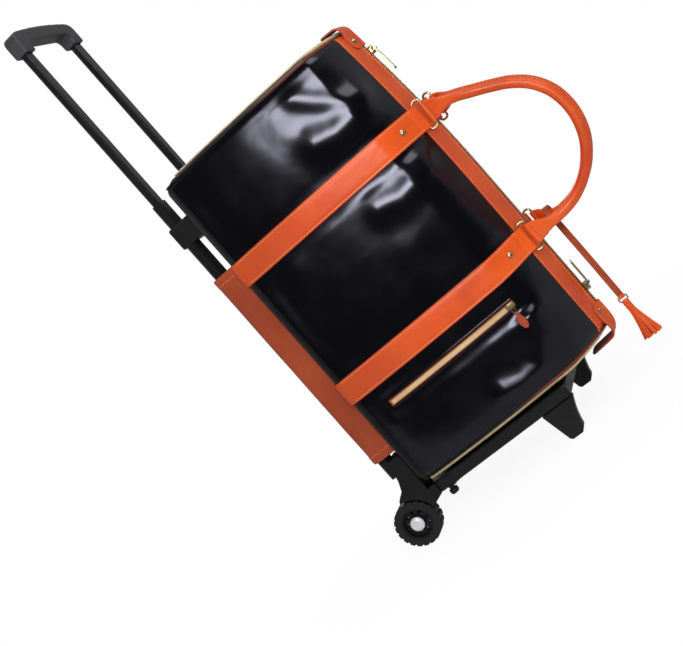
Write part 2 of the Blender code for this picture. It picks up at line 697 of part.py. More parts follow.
def make_ridge_slider(level):
    """Slider on the ridge with a flat pull that lies along the teeth."""
    z = UPPER_SLIDER_Z if level == "upper" else LOWER_SLIDER_Z
    toward = -1 if level == "upper" else 1
    lift = CHAIN_RISE + GAP + 0.2 * MM
    slope = atan2(max(0.0, z - RIDGE_FLAT_TO), RIDGE_RADIUS)
    out = Vector((0, -cos(slope), sin(slope)))
    along = Vector((0, sin(slope), cos(slope))) * toward
    seat = Vector((0, RIDGE_Y + ridge_dip(z), z)) + out * lift
    name = "ridge_slider_" + level
    slider = slider_body(name, seat, out, along, Vector((1, 0, 0)))
    pin = seat + out * (SLIDER[2] + 1.3 * MM) + along * 2 * MM
    ear = cylinder("ear", 2.2 * MM, pin - Vector((3.4 * MM, 0, 0)), pin + Vector((3.4 * MM, 0, 0)),
                   12)
    join(slider, ear)
    slot_low = pin - Vector((1.9 * MM, 0, 0))
    slot_high = pin + Vector((1.9 * MM, 0, 0))
    cut(slider, cylinder("slot", 4.2 * MM, slot_low, slot_high, 16, cutters))
    hole = cylinder("hole", 0.9 * MM, pin - Vector((5 * MM, 0, 0)), pin + Vector((5 * MM, 0, 0)),
                    8, cutters)
    cut(slider, hole)
    dress(slider, "gold_metal", 30)
    half = PULL_THICK / 2
    rings = []
    for share, wide in ((0.0, 0.5), (0.14, 0.5), (0.18, 1.0), (0.92, 1.0), (1.0, 0.6)):
        at = pin + along * PULL_LENGTH * share
        w = PULL_WIDTH / 2 * wide
        rings.append([at + Vector((-w, 0, 0)) - out * half, at + Vector((w, 0, 0)) - out * half,
                      at + Vector((w, 0, 0)) + out * half, at + Vector((-w, 0, 0)) + out * half])
    pull = loft("ridge_pull_" + level, rings)
    eye = cylinder("eye", 2.0 * MM, pin - Vector((1.3 * MM, 0, 0)),
                   pin + Vector((1.3 * MM, 0, 0)), 12)
    join(pull, eye)
    axle = cylinder("axle", 0.6 * MM, pin - Vector((3.1 * MM, 0, 0)),
                    pin + Vector((3.1 * MM, 0, 0)), 8)
    join(pull, axle)
    dress(pull, "gold_metal", 30)
    return slider, pull, pin


def make_pocket():
    """Welted pocket mouth with its closed zip, on the near side panel."""
    def track(y_from, y_to, count):
        return [side_point_at(y_from + (y_to - y_from) * i / count) for i in range(count + 1)]

    def strip(name, y_from, y_to, low, high, inner, outer, count=6):
        line = track(y_from, y_to, count)
        rings = []
        for point, normal in line:
            a, b = point + normal * inner, point + normal * outer
            rings.append([Vector((*a, POCKET_Z + low)), Vector((*b, POCKET_Z + low)),
                          Vector((*b, POCKET_Z + high)), Vector((*a, POCKET_Z + high))])
        return loft(name, rings)
    welt = strip("pocket_welt", POCKET_BACK_Y, POCKET_FRONT_Y - 6 * MM, -POCKET_HALF,
                 POCKET_HALF, 2 * GAP, 1.9 * MM)
    slot = strip("slot", POCKET_BACK_Y - 2 * MM, POCKET_FRONT_Y - 4 * MM, -4.6 * MM, 4.6 * MM,
                 1.2 * MM, 4 * MM)
    cut(welt, slot)
    chain = strip("pocket_zip", POCKET_BACK_Y - 2.5 * MM, POCKET_FRONT_Y - 3.5 * MM, -4 * MM,
                  4 * MM, 1.2 * MM + GAP, 2.7 * MM)
    dress(welt, "orange_leather", 30)
    dress(chain, "gold_metal", 30)
    return welt, chain


def make_pocket_slider():
    point, normal = side_point_at(POCKET_FRONT_Y)
    out = Vector((*normal, 0))
    along = Vector((normal.y, -normal.x, 0))
    seat = Vector((*point, POCKET_Z)) + out * 3.1 * MM
    slider = slider_body("pocket_slider", seat, out, along, Vector((0, 0, 1)))
    head = seat + out * (SLIDER[2] + GAP)
    post = cylinder("post", 1.2 * MM, seat + out * (SLIDER[2] - MM), head + out * 3.6 * MM, 12)
    rim = cylinder("rim", 2.4 * MM, head + out * 2.4 * MM, head + out * 3.6 * MM, 12)
    join(slider, post, rim)
    dress(slider, "gold_metal", 30)
    down = Vector((0, 0, -1))
    rings = []
    half = 0.9 * MM
    middle = head + out * (GAP + half)
    for share, wide in ((-0.09, 0.45), (-0.06, 0.75), (0.0, 0.85), (0.08, 0.7), (0.16, 0.45),
                        (0.34, 0.45), (0.42, 0.9), (0.6, 1.4), (0.78, 1.45), (0.92, 1.05),
                        (1.0, 0.4)):
        at = middle + down * POCKET_PULL_DROP * share
        w = 3.6 * MM * wide
        rings.append([at - along * w - out * half, at + along * w - out * half,
                      at + along * w + out * half, at - along * w + out * half])
    pull = loft("pocket_pull", rings)
    bore = cylinder("bore", 1.2 * MM + GAP, middle - out * 5 * MM, middle + out * 5 * MM, 12,
                    cutters)
    cut(pull, bore)
    dress(pull, "orange_leather", 30)
    return slider, pull, middle


# ---- end tabs ----------------------------------------------------------------------------------
def make_end_tab(name, end):
    """Leather tab over an end of the ridge zip, bent loosely round the end of the bag."""
    corner = BAG_TOP if end > 0 else BAG_BOTTOM
    flare = TAB_FLARE[end]

    def ridge_at(z):
        return RIDGE_Y + ridge_dip(z)
    straight = [corner - end * reach for reach in (TAB_REACH, TAB_REACH - 10 * MM, 12 * MM)]
    line = [(ridge_at(z), z) for z in straight]
    bend = curve_points(line[-1], (line[-1][0], corner + end * flare * 0.75),
                        (line[-1][0] + 16 * MM, corner + end * flare * 0.8), 4)
    line += bend[1:]
    line += [(line[-1][0] + TAB_FLAP * share, corner + end * flare * (0.8 + 0.2 * share))
             for share in (0.7, 1.0)]
    slope = (SEAM_Y - RIDGE_Y) / SEAM_HALF
    far_x = TAB_HINGE_X + TAB_WIDTH
    over_teeth = CHAIN_RISE + GAP
    seat = 0.5 * MM + GAP
    rings = []
    for i, (y, z) in enumerate(line):
        before, after = line[max(0, i - 1)], line[min(len(line) - 1, i + 1)]
        along = Vector((after[0] - before[0], after[1] - before[1])).normalized()
        out = Vector((0, -along.y, along.x)) * end
        narrow = 5 * MM if i in (0, len(line) - 1) else 0.0
        hug = max(0.0, min(1.0, 1.0 - 0.35 * (i - 2)))       # flat once it leaves the ridge
        fall = slope - ridge_dip(z) * slope / SHOULDER_DROP

        def side_rise(x):
            return over_teeth + hug * (seat - fall * abs(x) - over_teeth)
        low = [(x, side_rise(x)) for x in (TAB_HINGE_X + narrow, far_x - narrow)]
        low[1:1] = [(-3.6 * MM, over_teeth), (3.6 * MM, over_teeth)]
        ring = [Vector((x, y, z)) + out * (rise + TAB_THICK) for x, rise in low]
        ring += [Vector((x, y, z)) + out * rise for x, rise in reversed(low)]
        rings.append(ring)
    tab = loft(name, rings)
    snap_z = corner - end * (TAB_REACH - 11 * MM)
    face = Vector((slope, -1)).normalized()
    fall = slope - ridge_dip(snap_z) * slope / SHOULDER_DROP
    rise = seat - fall * 16 * MM + TAB_THICK
    snap_at = Vector((-16 * MM, ridge_at(snap_z) - rise - 0.4 * MM, snap_z))
    snap = turned("snap", [(0, 2.2 * MM), (3.0 * MM, 1.8 * MM), (4.2 * MM, 0.8 * MM),
                           (4.2 * MM, -1.6 * MM), (0, -1.6 * MM)],
                  (snap_at, Vector((-face.x, face.y, 0))), 16)
    dress(join(tab, snap), "orange_leather", 30)
    hinge_rise = seat + fall * TAB_HINGE_X + TAB_THICK / 2
    return tab, Vector((TAB_HINGE_X, ridge_at(snap_z) - hinge_rise, snap_z))


# ---- tassel --------------------------------------------------------------------------------------
def make_tassel():
    """Flat strap looped round the far handle's lower tab, a tassel of cut leather below it."""
    width, thick = TASSEL_STRAP
    axis = Vector((TASSEL_X, TASSEL_Y, TASSEL_TOP_Z))
    eye = cylinder("tassel_strap", TASSEL_LOOP + thick, axis - Vector((0, width / 2, 0)),
                   axis + Vector((0, width / 2, 0)), 20)
    bottom = TASSEL_CLIP_Z
    start = axis.z - TASSEL_LOOP - thick / 2
    rings = []
    for share in (0.0, 0.3, 0.6, 0.85, 1.0):
        z = start + (bottom - start) * share
        x = axis.x + 1.5 * MM * sin(pi * share)
        rings.append([Vector((x - thick / 2, axis.y - width / 2, z)),
                      Vector((x + thick / 2, axis.y - width / 2, z)),
                      Vector((x + thick / 2, axis.y + width / 2, z)),
                      Vector((x - thick / 2, axis.y + width / 2, z))])
    ribbon = loft("ribbon", rings)
    join(eye, ribbon)
    loop_z = bottom - 1.5 * MM
    loop = cylinder("loop", 3.0 * MM, (axis.x, axis.y - width / 2, loop_z),
                    (axis.x, axis.y + width / 2, loop_z), 12)
    join(eye, loop)
    for radius, z, sides in ((TASSEL_LOOP, axis.z, 20), (1.6 * MM, loop_z, 12)):
        cut(eye, cylinder("bore", radius, (axis.x, axis.y - 20 * MM, z),
                          (axis.x, axis.y + 20 * MM, z), sides, cutters))
    strap = dress(eye, "orange_leather", 40)

    top = loop_z
    ring_path = [(axis.x, axis.y + u, top - 3.6 * MM + v)
                 for u, v in rounded_loop(6.6 * MM, 3.6 * MM, 1.6 * MM)]
    clip = wire("tassel", ring_path, 1.0 * MM, 1, True)
    base = top - 7 * MM
    profile = [(0, base + MM), (3.2 * MM, base + MM), (4.6 * MM, base - 1.5 * MM),
               (5.0 * MM, base - 9 * MM), (7.5 * MM, base - 0.32 * TASSEL_LENGTH),
               (TASSEL_RADIUS * 0.8, base - 0.7 * TASSEL_LENGTH),
               (TASSEL_RADIUS, base - TASSEL_LENGTH), (0, base - TASSEL_LENGTH)]
    skirt = turned("skirt", profile, (Vector((axis.x, axis.y, 0)), Vector((0, 0, 1))), 20)
    squash = Matrix.Translation(axis) @ Matrix.Diagonal((0.5, 1, 1, 1)) @ \
        Matrix.Translation(-axis)
    skirt.data.transform(squash)
    join(clip, skirt)
    return strap, dress(clip, "orange_leather", 40), Vector((axis.x, axis.y, top))


# ---- trolley ---------------------------------------------------------------------------------
def rounded_rect(width, depth, chamfer):
    w, d, c = width / 2, depth / 2, chamfer
    return [(-w + c, -d), (w - c, -d), (w, -d + c), (w, d - c), (w - c, d), (-w + c, d),
            (-w, d - c), (-w, -d + c)]


def bar(name, x, size, chamfer, low, high, group=None):
    outline = [(x + u, TROLLEY_Y + v) for u, v in rounded_rect(*size, chamfer)]
    return plate(name, outline, low, high, "Z", group)


def make_tube(label):
    x = SIDES[label] * ROD_SPACING / 2
    tube = bar("outer_tube_" + label, x, TUBE, 3 * MM, TUBE_BOTTOM, TUBE_TOP)
    bore = (TUBE[0] - 2 * TUBE_WALL, TUBE[1] - 2 * TUBE_WALL)
    cut(tube, bar("bore", x, bore, 2.2 * MM, TUBE_BOTTOM - MM, TUBE_TOP + MM, cutters))
    return dress(tube, "painted_steel")


def make_rod(label):
    x = SIDES[label] * ROD_SPACING / 2
    rod = bar("inner_rod_" + label, x, ROD, 2.4 * MM, TUBE_TOP - ROD_OVERLAP,
              GRIP_UNDERSIDE + 4 * MM)
    return dress(rod, "painted_steel")


def make_grip():
    """Arched bar on two legs, a socket over each rod and a well for the release button."""
    half = ROD_SPACING / 2
    low = GRIP_UNDERSIDE - GRIP_END_DROP
    out_x = half + GRIP_LEG / 2
    in_x = half - GRIP_LEG / 2
    crown = GRIP_UNDERSIDE + GRIP_THICK
    left = [(-out_x, low)]
    left += curve_points((-out_x, crown - 14 * MM), (-out_x, crown - 3.5 * MM),
                         (-out_x + 20 * MM, crown - 2.5 * MM), 4)
    left += [(-half * 0.45, crown - 0.6 * MM), (0.0, crown)]
    inner = curve_points((-in_x, low + 3 * MM), (-in_x, GRIP_UNDERSIDE - MM),
                         (-in_x + 9 * MM, GRIP_UNDERSIDE), 3)
    inner = [(-in_x, low)] + inner
    outline = left + [(-x, z) for x, z in reversed(left[:-1])] + [(-x, z) for x, z in inner]
    outline += [(x, z) for x, z in reversed(inner)]
    grip = plate("grip", outline, TROLLEY_Y - GRIP_DEPTH / 2, TROLLEY_Y + GRIP_DEPTH / 2, "Y")
    bevel(grip, GRIP_ROUND, 3, 60)
    for side in SIDES.values():
        seat = (ROD[0] + 2 * GAP, ROD[1] + 2 * GAP)
        cut(grip, bar("seat", side * half, seat, 2.4 * MM, low - MM,
                      GRIP_UNDERSIDE + 4 * MM + GAP, cutters))
    length, width, depth = BUTTON
    well = box("well", (-length / 2, TROLLEY_Y - width / 2, crown - depth - BUTTON_RISE),
               (length / 2, TROLLEY_Y + width / 2, crown + 8 * MM))
    bevel(well, 4 * MM, 2, 80)
    cut(grip, well)
    button = box("release_button",
                 (-length / 2 + 0.5 * MM, TROLLEY_Y - width / 2 + 0.5 * MM, crown - depth),
                 (length / 2 - 0.5 * MM, TROLLEY_Y + width / 2 - 0.5 * MM, crown + 1.5 * MM))
    bevel(button, 3.6 * MM, 2, 80)
    dress(button, "black_plastic", 30)
    return dress(grip, "grip_rubber", 40), button, crown


def make_collar():
    """Moulded bridge that clamps both tubes to the base board."""
    low, high = COLLAR_Z
    half = ROD_SPACING / 2 + TUBE[0] / 2 + 4 * MM
    back = TROLLEY_Y + TUBE[1] / 2 + 3 * MM
    front = BAG_BACK_Y + GAP
    collar = box("tube_collar", (-half, front, low), (half, back, high))
    bevel(collar, 2 * MM, 1)
    waist = box("waist", (-half + 34 * MM, TROLLEY_Y - 2 * MM, low - MM),
                (half - 34 * MM, back + MM, high + MM))
    cut(collar, waist)
    for side in SIDES.values():
        hole = (TUBE[0] + 2 * GAP, TUBE[1] + 2 * GAP)
        cut(collar, bar("hole", side * ROD_SPACING / 2, hole, 3 * MM, low - MM, high + MM, cutters))
    return dress(collar, "black_plastic")


def make_cover():
    """Leather sleeve over the tubes: back face, rounded long edges and both side walls."""
    low, high = COVER_Z
    back = TROLLEY_Y + TUBE[1] / 2 + GAP + COVER_THICK
    front = BAG_BACK_Y + GAP
    round_r = 8 * MM

    def u_line(half, y_back, radius):
        near = curve_points((-half, y_back - radius), (-half, y_back), (-half + radius, y_back), 3)
        return [(-half, front)] + near + [(-x, y) for x, y in reversed(near)] + [(half, front)]
    outer = u_line(COVER_HALF, back, round_r)
    inner = u_line(COVER_HALF - COVER_THICK, back - COVER_THICK, round_r - COVER_THICK)
    return dress(plate("tube_cover", outer + inner[::-1], low, high, "Z"), "orange_leather")


# ---- running gear -----------------------------------------------------------------------------
def wheel_centre(side):
    return Vector((side * WHEEL_X, 0, WHEEL_RADIUS))


def make_tyre(label):
    side = SIDES[label]
    outline = []
    pitch = 2 * pi / TREAD_LUGS
    for lug in range(TREAD_LUGS):
        for share, radius in ((-0.32, WHEEL_RADIUS), (0.0, WHEEL_RADIUS), (0.32, WHEEL_RADIUS),
                              (0.42, WHEEL_RADIUS - TREAD_DEPTH),
                              (0.58, WHEEL_RADIUS - TREAD_DEPTH)):
            angle = -pi / 2 + (lug + share) * pitch
            outline.append((radius * cos(angle), WHEEL_RADIUS + radius * sin(angle)))
    x = side * WHEEL_X
    tyre = plate("tyre_" + label, outline, x - WHEEL_WIDTH / 2, x + WHEEL_WIDTH / 2)
    centre = wheel_centre(side)
    half = Vector((WHEEL_WIDTH, 0, 0))
    cut(tyre, cylinder("bore", RIM_RADIUS + GAP, centre - half, centre + half, 24, cutters))
    return dress(tyre, "tyre_rubber")


def make_rim(label):
    """Webbed disc with a ring of round lightening holes and a hub bore."""
    side = SIDES[label]
    centre = wheel_centre(side)
    half, web = WHEEL_WIDTH / 2 - MM, 4 * MM
    hub, rim_in = 9.4 * MM, RIM_RADIUS - 2.2 * MM
    profile = [(AXLE_RADIUS + GAP, half), (hub, half), (hub + 0.8 * MM, web),
               (rim_in - MM, web), (rim_in, half), (RIM_RADIUS, half), (RIM_RADIUS, -half),
               (rim_in, -half), (rim_in - MM, -web), (hub + 0.8 * MM, -web), (hub, -half),
               (AXLE_RADIUS + GAP, -half), (AXLE_RADIUS + GAP, half)]
    rim = turned("rim_" + label, profile, (centre, Vector((side, 0, 0))), 24)
    for k in range(RIM_HOLES):
        angle = 2 * pi * (k + 0.37) / RIM_HOLES
        at = centre + Vector((0, cos(angle), sin(angle))) * RIM_HOLE_CIRCLE
        cut(rim, cylinder("hole", RIM_HOLE_RADIUS, at - Vector((WHEEL_WIDTH, 0, 0)),
                          at + Vector((WHEEL_WIDTH, 0, 0)), 7, cutters))
    return dress(rim, "black_plastic", 40)


def make_axle(label):
    """Turned pin with a domed grey cap on its outer end."""
    side = SIDES[label]
    face = WHEEL_WIDTH / 2 - MM + GAP
    inner = -(WHEEL_WIDTH / 2 + CHEEK + 2 * MM)
    profile = [(0, face + 4 * MM), (CAP_RADIUS * 0.55, face + 3.6 * MM),
               (CAP_RADIUS * 0.9, face + 2.4 * MM), (CAP_RADIUS, face + MM), (CAP_RADIUS, face),
               (AXLE_RADIUS, face), (AXLE_RADIUS, inner), (0, inner)]
    axle = turned("axle_" + label, profile, (wheel_centre(side), Vector((side, 0, 0))), 24)
    return dress(axle, "grey_steel", 40)


def make_housing(label):
    """Moulded corner: mudguard over the wheel, cheek for the axle, leg up to the tube."""
    side = SIDES[label]
    inner_r = WHEEL_RADIUS + FENDER_GAP
    outer_r = inner_r + FENDER_WALL
    hub_z = WHEEL_RADIUS
    front = BAG_BACK_Y + GAP
    arc = [(inner_r * cos(a), hub_z + inner_r * sin(a))
           for a in (radians(90 + 80 * k / 8) for k in range(9))]
    outline = arc + [(-outer_r, hub_z + 8 * MM), (BAG_BACK_Y - 12 * MM, FRAME_UNDERSIDE),
                     (BAG_BACK_Y - 12 * MM, BAG_BOTTOM - END_PUFF - 2 * MM),
                     (front, BAG_BOTTOM - END_PUFF - 2 * MM), (front, COVER_Z[0] - GAP),
                     (-26.5 * MM, COVER_Z[0] - GAP), (-20 * MM, 94 * MM), (-14 * MM, 81 * MM),
                     (-2 * MM, outer_r + hub_z)]
    x_out = side * (WHEEL_X + WHEEL_WIDTH / 2 + MM)
    x_in = side * (WHEEL_X - WHEEL_WIDTH / 2 - GAP - MM - CHEEK)
    low, high = sorted((x_out, x_in))
    housing = plate("wheel_housing_" + label, outline, low, high)
    cheek_face = side * (WHEEL_X - WHEEL_WIDTH / 2 - MM)
    low, high = sorted((cheek_face, x_in))
    boss = 12 * MM
    lobe = [(boss * cos(a), hub_z + boss * sin(a)) for a in
            (radians(180 + 180 * k / 8) for k in range(9))]
    cheek = plate("cheek", lobe + [(boss, hub_z + 20 * MM), (4 * MM, outer_r + hub_z - MM),
                                   (-outer_r + 2 * MM, hub_z + 10 * MM)], low, high)
    join(housing, cheek)
    centre = wheel_centre(side)
    reach = Vector((60 * MM, 0, 0))
    cut(housing, cylinder("hole", AXLE_RADIUS + GAP, centre - reach, centre + reach, 24, cutters))
    x = side * ROD_SPACING / 2
    seat = (TUBE[0] + 2 * GAP, TUBE[1] + 2 * GAP)
    cut(housing, bar("seat", x, seat, 3 * MM, TUBE_BOTTOM - GAP, TUBE_TOP, cutters))
    return dress(housing, "black_plastic")


def make_base_frame():
    """Ribbed tray under the bag's wheel end that ties the housings and the feet together."""
    back = BAG_BACK_Y - 12 * MM - GAP
    top = BAG_BOTTOM - END_PUFF - MM
    frame = box("base_frame", (-FRAME_HALF, FRAME_FRONT_Y, FRAME_UNDERSIDE),
                (FRAME_HALF, back, top))
    bevel(frame, 2 * MM, 1)
    bays, rim, rib = 3, 14 * MM, 5 * MM
    span = back - FRAME_FRONT_Y - 2 * rim
    for column in (-1, 1):
        for bay in range(bays):
            y0 = FRAME_FRONT_Y + rim + span * bay / bays + rib / 2
            y1 = FRAME_FRONT_Y + rim + span * (bay + 1) / bays - rib / 2
            x0, x1 = sorted((column * rib / 2, column * (FRAME_HALF - rim - 2 * MM)))
            pocket = box("pocket", (x0, y0, FRAME_UNDERSIDE - MM), (x1, y1, FRAME_UNDERSIDE + 5 * MM))
            cut(frame, pocket)
    return dress(frame, "black_plastic")


def make_foot(label):
    """Tapered blade with a hollowed front edge and a chamfered sole."""
    side = SIDES[label]
    top = FRAME_UNDERSIDE - GAP
    front = curve_points((FOOT_TIP_Y[1], 6 * MM), (FOOT_TIP_Y[1] - 3 * MM, 26 * MM),
                         (FOOT_TOP_Y[1], top), 5)
    outline = [(FOOT_TOP_Y[0], top), (FOOT_TIP_Y[0], 3 * MM), (FOOT_TIP_Y[0] - 3 * MM, 0.0),
               (FOOT_TIP_Y[1] + 6 * MM, 0.0)] + front
    x = side * FOOT_X
    foot = plate("foot_" + label, outline, x - FOOT_WIDTH / 2, x + FOOT_WIDTH / 2)
    return dress(bevel(foot, 1.2 * MM, 1, 50), "black_plastic")


def make_frame_bolt(label):
    """Knurled bolt head under the tray, just ahead of the wheel."""
    side = SIDES[label]
    at = Vector((side * FOOT_X, BAG_BACK_Y - 25 * MM, FRAME_UNDERSIDE - GAP))
    profile = [(0, 0), (4 * MM, 0), (4 * MM, -4 * MM), (6.5 * MM, -5 * MM), (6.5 * MM, -10 * MM),
               (5 * MM, -12 * MM), (0, -12 * MM)]
    return dress(turned("frame_bolt_" + label, profile, (at, Vector((0, 0, 1))), 12),
                 "black_plastic")


def centre_on_origin():
    """Moves the whole object along Y, so that the origin is below the middle of its outline."""
    bpy.context.view_layer.update()
    ends = [(piece.matrix_world @ Vector(corner)).y for piece in parts.objects
            if piece.type == "MESH" for corner in piece.bound_box]
    shift = -(min(ends) + max(ends)) / 2
    for piece in parts.objects:
        if piece.parent is None:
            piece.location.y += shift


def build():
    clear_scene()
    make_base_board()
    make_end_panel("wheel_end_panel", -1)
    make_end_panel("handle_end_panel", 1)
    make_end_zip("wheel_end_zip", -1)
    make_end_zip("handle_end_zip", 1)
    make_side("far")
    make_band("far")
    make_ridge_zip("far")

    panel_axis = pivot("near_panel_axis", (*HINGE, BAG_BOTTOM))
    hang(panel_axis, make_side("near"), make_band("near"), make_ridge_zip("near"),
         *make_pocket())
    for label, parent in (("near", panel_axis), ("far", None)):
        for level in STRAP_Z:
            strap, ring = make_strap(label, level), make_ring(label, level)
            if parent:
                hang(parent, strap, ring)
        axis = pivot(label + "_handle_axis",
                     mirrored((*HANDLE_AXIS, STRAP_Z["upper"]), SIDES[label]), parent)
        hang(axis, make_carry_handle(label))

    pocket_axis = pivot("pocket_zip_axis", (*SIDE_CENTRE, POCKET_Z), panel_axis)
    slider, pull, pin = make_pocket_slider()
    hang(pocket_axis, slider)
    hang(pivot("pocket_pull_axis", pin, pocket_axis), pull)
    for level in ("upper", "lower"):
        slider, pull, pin = make_ridge_slider(level)
        centre = RIDGE_Y + RIDGE_RADIUS if level == "upper" else RIDGE_Y
        track = pivot("ridge_slider_axis_" + level, (0, centre, RIDGE_FLAT_TO))
        hang(track, slider)
        hang(pivot("ridge_pull_axis_" + level, pin, track), pull)
    for name, end in (("wheel_end_tab", -1), ("handle_end_tab", 1)):
        tab, place = make_end_tab(name, end)
        hang(pivot(name + "_axis", place, panel_axis), tab)
    strap, tassel, pin = make_tassel()
    strap_axis = pivot("tassel_strap_axis", (TASSEL_X, TASSEL_Y, TASSEL_TOP_Z))
    hang(strap_axis, strap)
    hang(pivot("tassel_axis", pin, strap_axis), tassel)

    make_cover()
    make_collar()
    make_base_frame()
    trolley = pivot("trolley_axis", (0, TROLLEY_Y, TUBE_TOP))
    grip, button, top = make_grip()
    hang(trolley, grip)
    hang(pivot("button_axis", (0, TROLLEY_Y, top), trolley), button)
    for label, side in SIDES.items():
        make_tube(label)
        hang(trolley, make_rod(label))
        make_housing(label)
        make_axle(label)
        make_foot(label)
        make_frame_bolt(label)
        hang(pivot("wheel_axis_" + label, wheel_centre(side)), make_tyre(label), make_rim(label))
    centre_on_origin()


build()
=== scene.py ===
# %% [markdown]
# A leather travel bag on a telescopic trolley frame.
#
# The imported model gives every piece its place. This lesson dresses it: leather walls with folds,
# bound edges, zips, straps, rolled handles, a tassel, moulded plastic, painted steel and rubber.
# Lengths in this file are metres; a few tables are in millimetres and say so.

# %% Load the fixed frame
import random
from math import cos, pi, radians, sin, sqrt

import bmesh
import bpy
import numpy as np
from mathutils import Matrix, Vector, noise


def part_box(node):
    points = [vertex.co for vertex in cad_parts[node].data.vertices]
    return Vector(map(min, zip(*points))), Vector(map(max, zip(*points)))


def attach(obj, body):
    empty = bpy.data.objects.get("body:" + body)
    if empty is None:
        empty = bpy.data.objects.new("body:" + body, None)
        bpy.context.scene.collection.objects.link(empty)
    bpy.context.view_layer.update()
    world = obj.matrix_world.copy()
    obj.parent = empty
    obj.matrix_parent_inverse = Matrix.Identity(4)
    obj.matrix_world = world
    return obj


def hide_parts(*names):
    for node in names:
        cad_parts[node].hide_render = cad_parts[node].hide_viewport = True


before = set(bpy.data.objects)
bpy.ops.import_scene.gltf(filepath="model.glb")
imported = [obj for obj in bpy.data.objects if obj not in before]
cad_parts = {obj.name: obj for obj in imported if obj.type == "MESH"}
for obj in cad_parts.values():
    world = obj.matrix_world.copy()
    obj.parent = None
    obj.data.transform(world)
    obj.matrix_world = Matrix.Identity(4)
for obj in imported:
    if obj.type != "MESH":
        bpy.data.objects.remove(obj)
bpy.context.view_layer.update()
MM = 0.001
tyre_low, tyre_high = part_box("tyre_near")
WHEEL_Y = (tyre_low[1] + tyre_high[1]) / 2

# %% [markdown]
# The bag is drawn from the line of its wheels, because its section, straps and handles are all
# measured from there. One offset, WHEEL_Y, carries every mesh from that line to the packed
# model's origin. The camera comes first: every later judgement is made in its view. Its lens and
# place were solved from the straight edges of the trolley and the bag.

# %% Camera
def in_frame(x, y, z):
    """A place measured from the wheel line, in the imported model's frame."""
    return Vector((x, y + WHEEL_Y, z))


view = bpy.data.cameras.new("photo_view")
view.sensor_width = 36.0
view.sensor_fit = "HORIZONTAL"
view.lens = 69.63
view.clip_end = 60
camera = bpy.data.objects.new("photo_view", view)
right = Vector((0.22474493, -0.71714089, -0.65969588))
down = Vector((-0.27478943, 0.60289282, -0.74900669))
forward = Vector((0.93486923, 0.34961291, -0.06156563))
turn = Matrix((right, -down, -forward)).transposed().to_4x4()
camera.matrix_world = Matrix.Translation(in_frame(-1.71402762, -0.70784518, 0.41058165)) @ turn
bpy.context.scene.collection.objects.link(camera)
bpy.context.scene.camera = camera
bpy.context.scene.view_settings.view_transform = "Standard"
print("camera", [round(v, 3) for v in camera.matrix_world.translation])


# %% [markdown]
# Three small helpers serve every finish: one reads a colour, one adds a node with its settings
# and links, and one opens a new material.

# %% Helpers for finishes
def colour(code):
    """An sRGB hex code as the linear values that shaders use."""
    parts = [int(code[i:i + 2], 16) / 255 for i in (1, 3, 5)]
    return tuple(p / 12.92 if p <= 0.04045 else ((p + 0.055) / 1.055) ** 2.4 for p in parts) + (1.0,)


def add(tree, kind, inputs=None, **settings):
    """Adds a node; an input that is a socket is linked, any other value is set."""
    made = tree.nodes.new(kind)
    for key, value in settings.items():
        setattr(made, key, value)
    for key, value in (inputs or {}).items():
        if isinstance(value, bpy.types.NodeSocket):
            tree.links.new(value, made.inputs[key])
        else:
            made.inputs[key].default_value = value
    return made


def new_finish(name, **sockets):
    """A material with its main shader; sockets are given as base_color, roughness and so on."""
    made = bpy.data.materials.new(name)
    made.use_nodes = True
    shader = made.node_tree.nodes["Principled BSDF"]
    for key, value in sockets.items():
        shader.inputs[key.replace("_", " ").title().replace("Ior", "IOR")].default_value = value
    return made, made.node_tree, shader


def place_of(tree, scale=(1, 1, 1)):
    """Object coordinates, stretched by scale."""
    where = add(tree, "ShaderNodeTexCoord").outputs["Object"]
    return add(tree, "ShaderNodeMapping", {"Vector": where, "Scale": scale}).outputs["Vector"]


def maths(tree, operation, first, second):
    """The result of one sum of two values in a shader tree."""
    return add(tree, "ShaderNodeMath", {0: first, 1: second}, operation=operation).outputs[0]


def eased(tree, value, low, high, start, end):
    """A smooth change from start to end while the value goes from low to high."""
    inputs = {"Value": value, "From Min": low, "From Max": high, "To Min": start, "To Max": end}
    node = add(tree, "ShaderNodeMapRange", inputs, interpolation_type="SMOOTHSTEP")
    return node.outputs["Result"]


print("finish helpers ready")

# %% [markdown]
# Leather first. It is tanned hide with a pressed, glazed surface. Three things show: slow changes
# of tone where the dye took unevenly, a pore grain about a millimetre wide, and soft creases a few
# centimetres long. Gloss comes from a roughness that wanders, so that light breaks up on it.

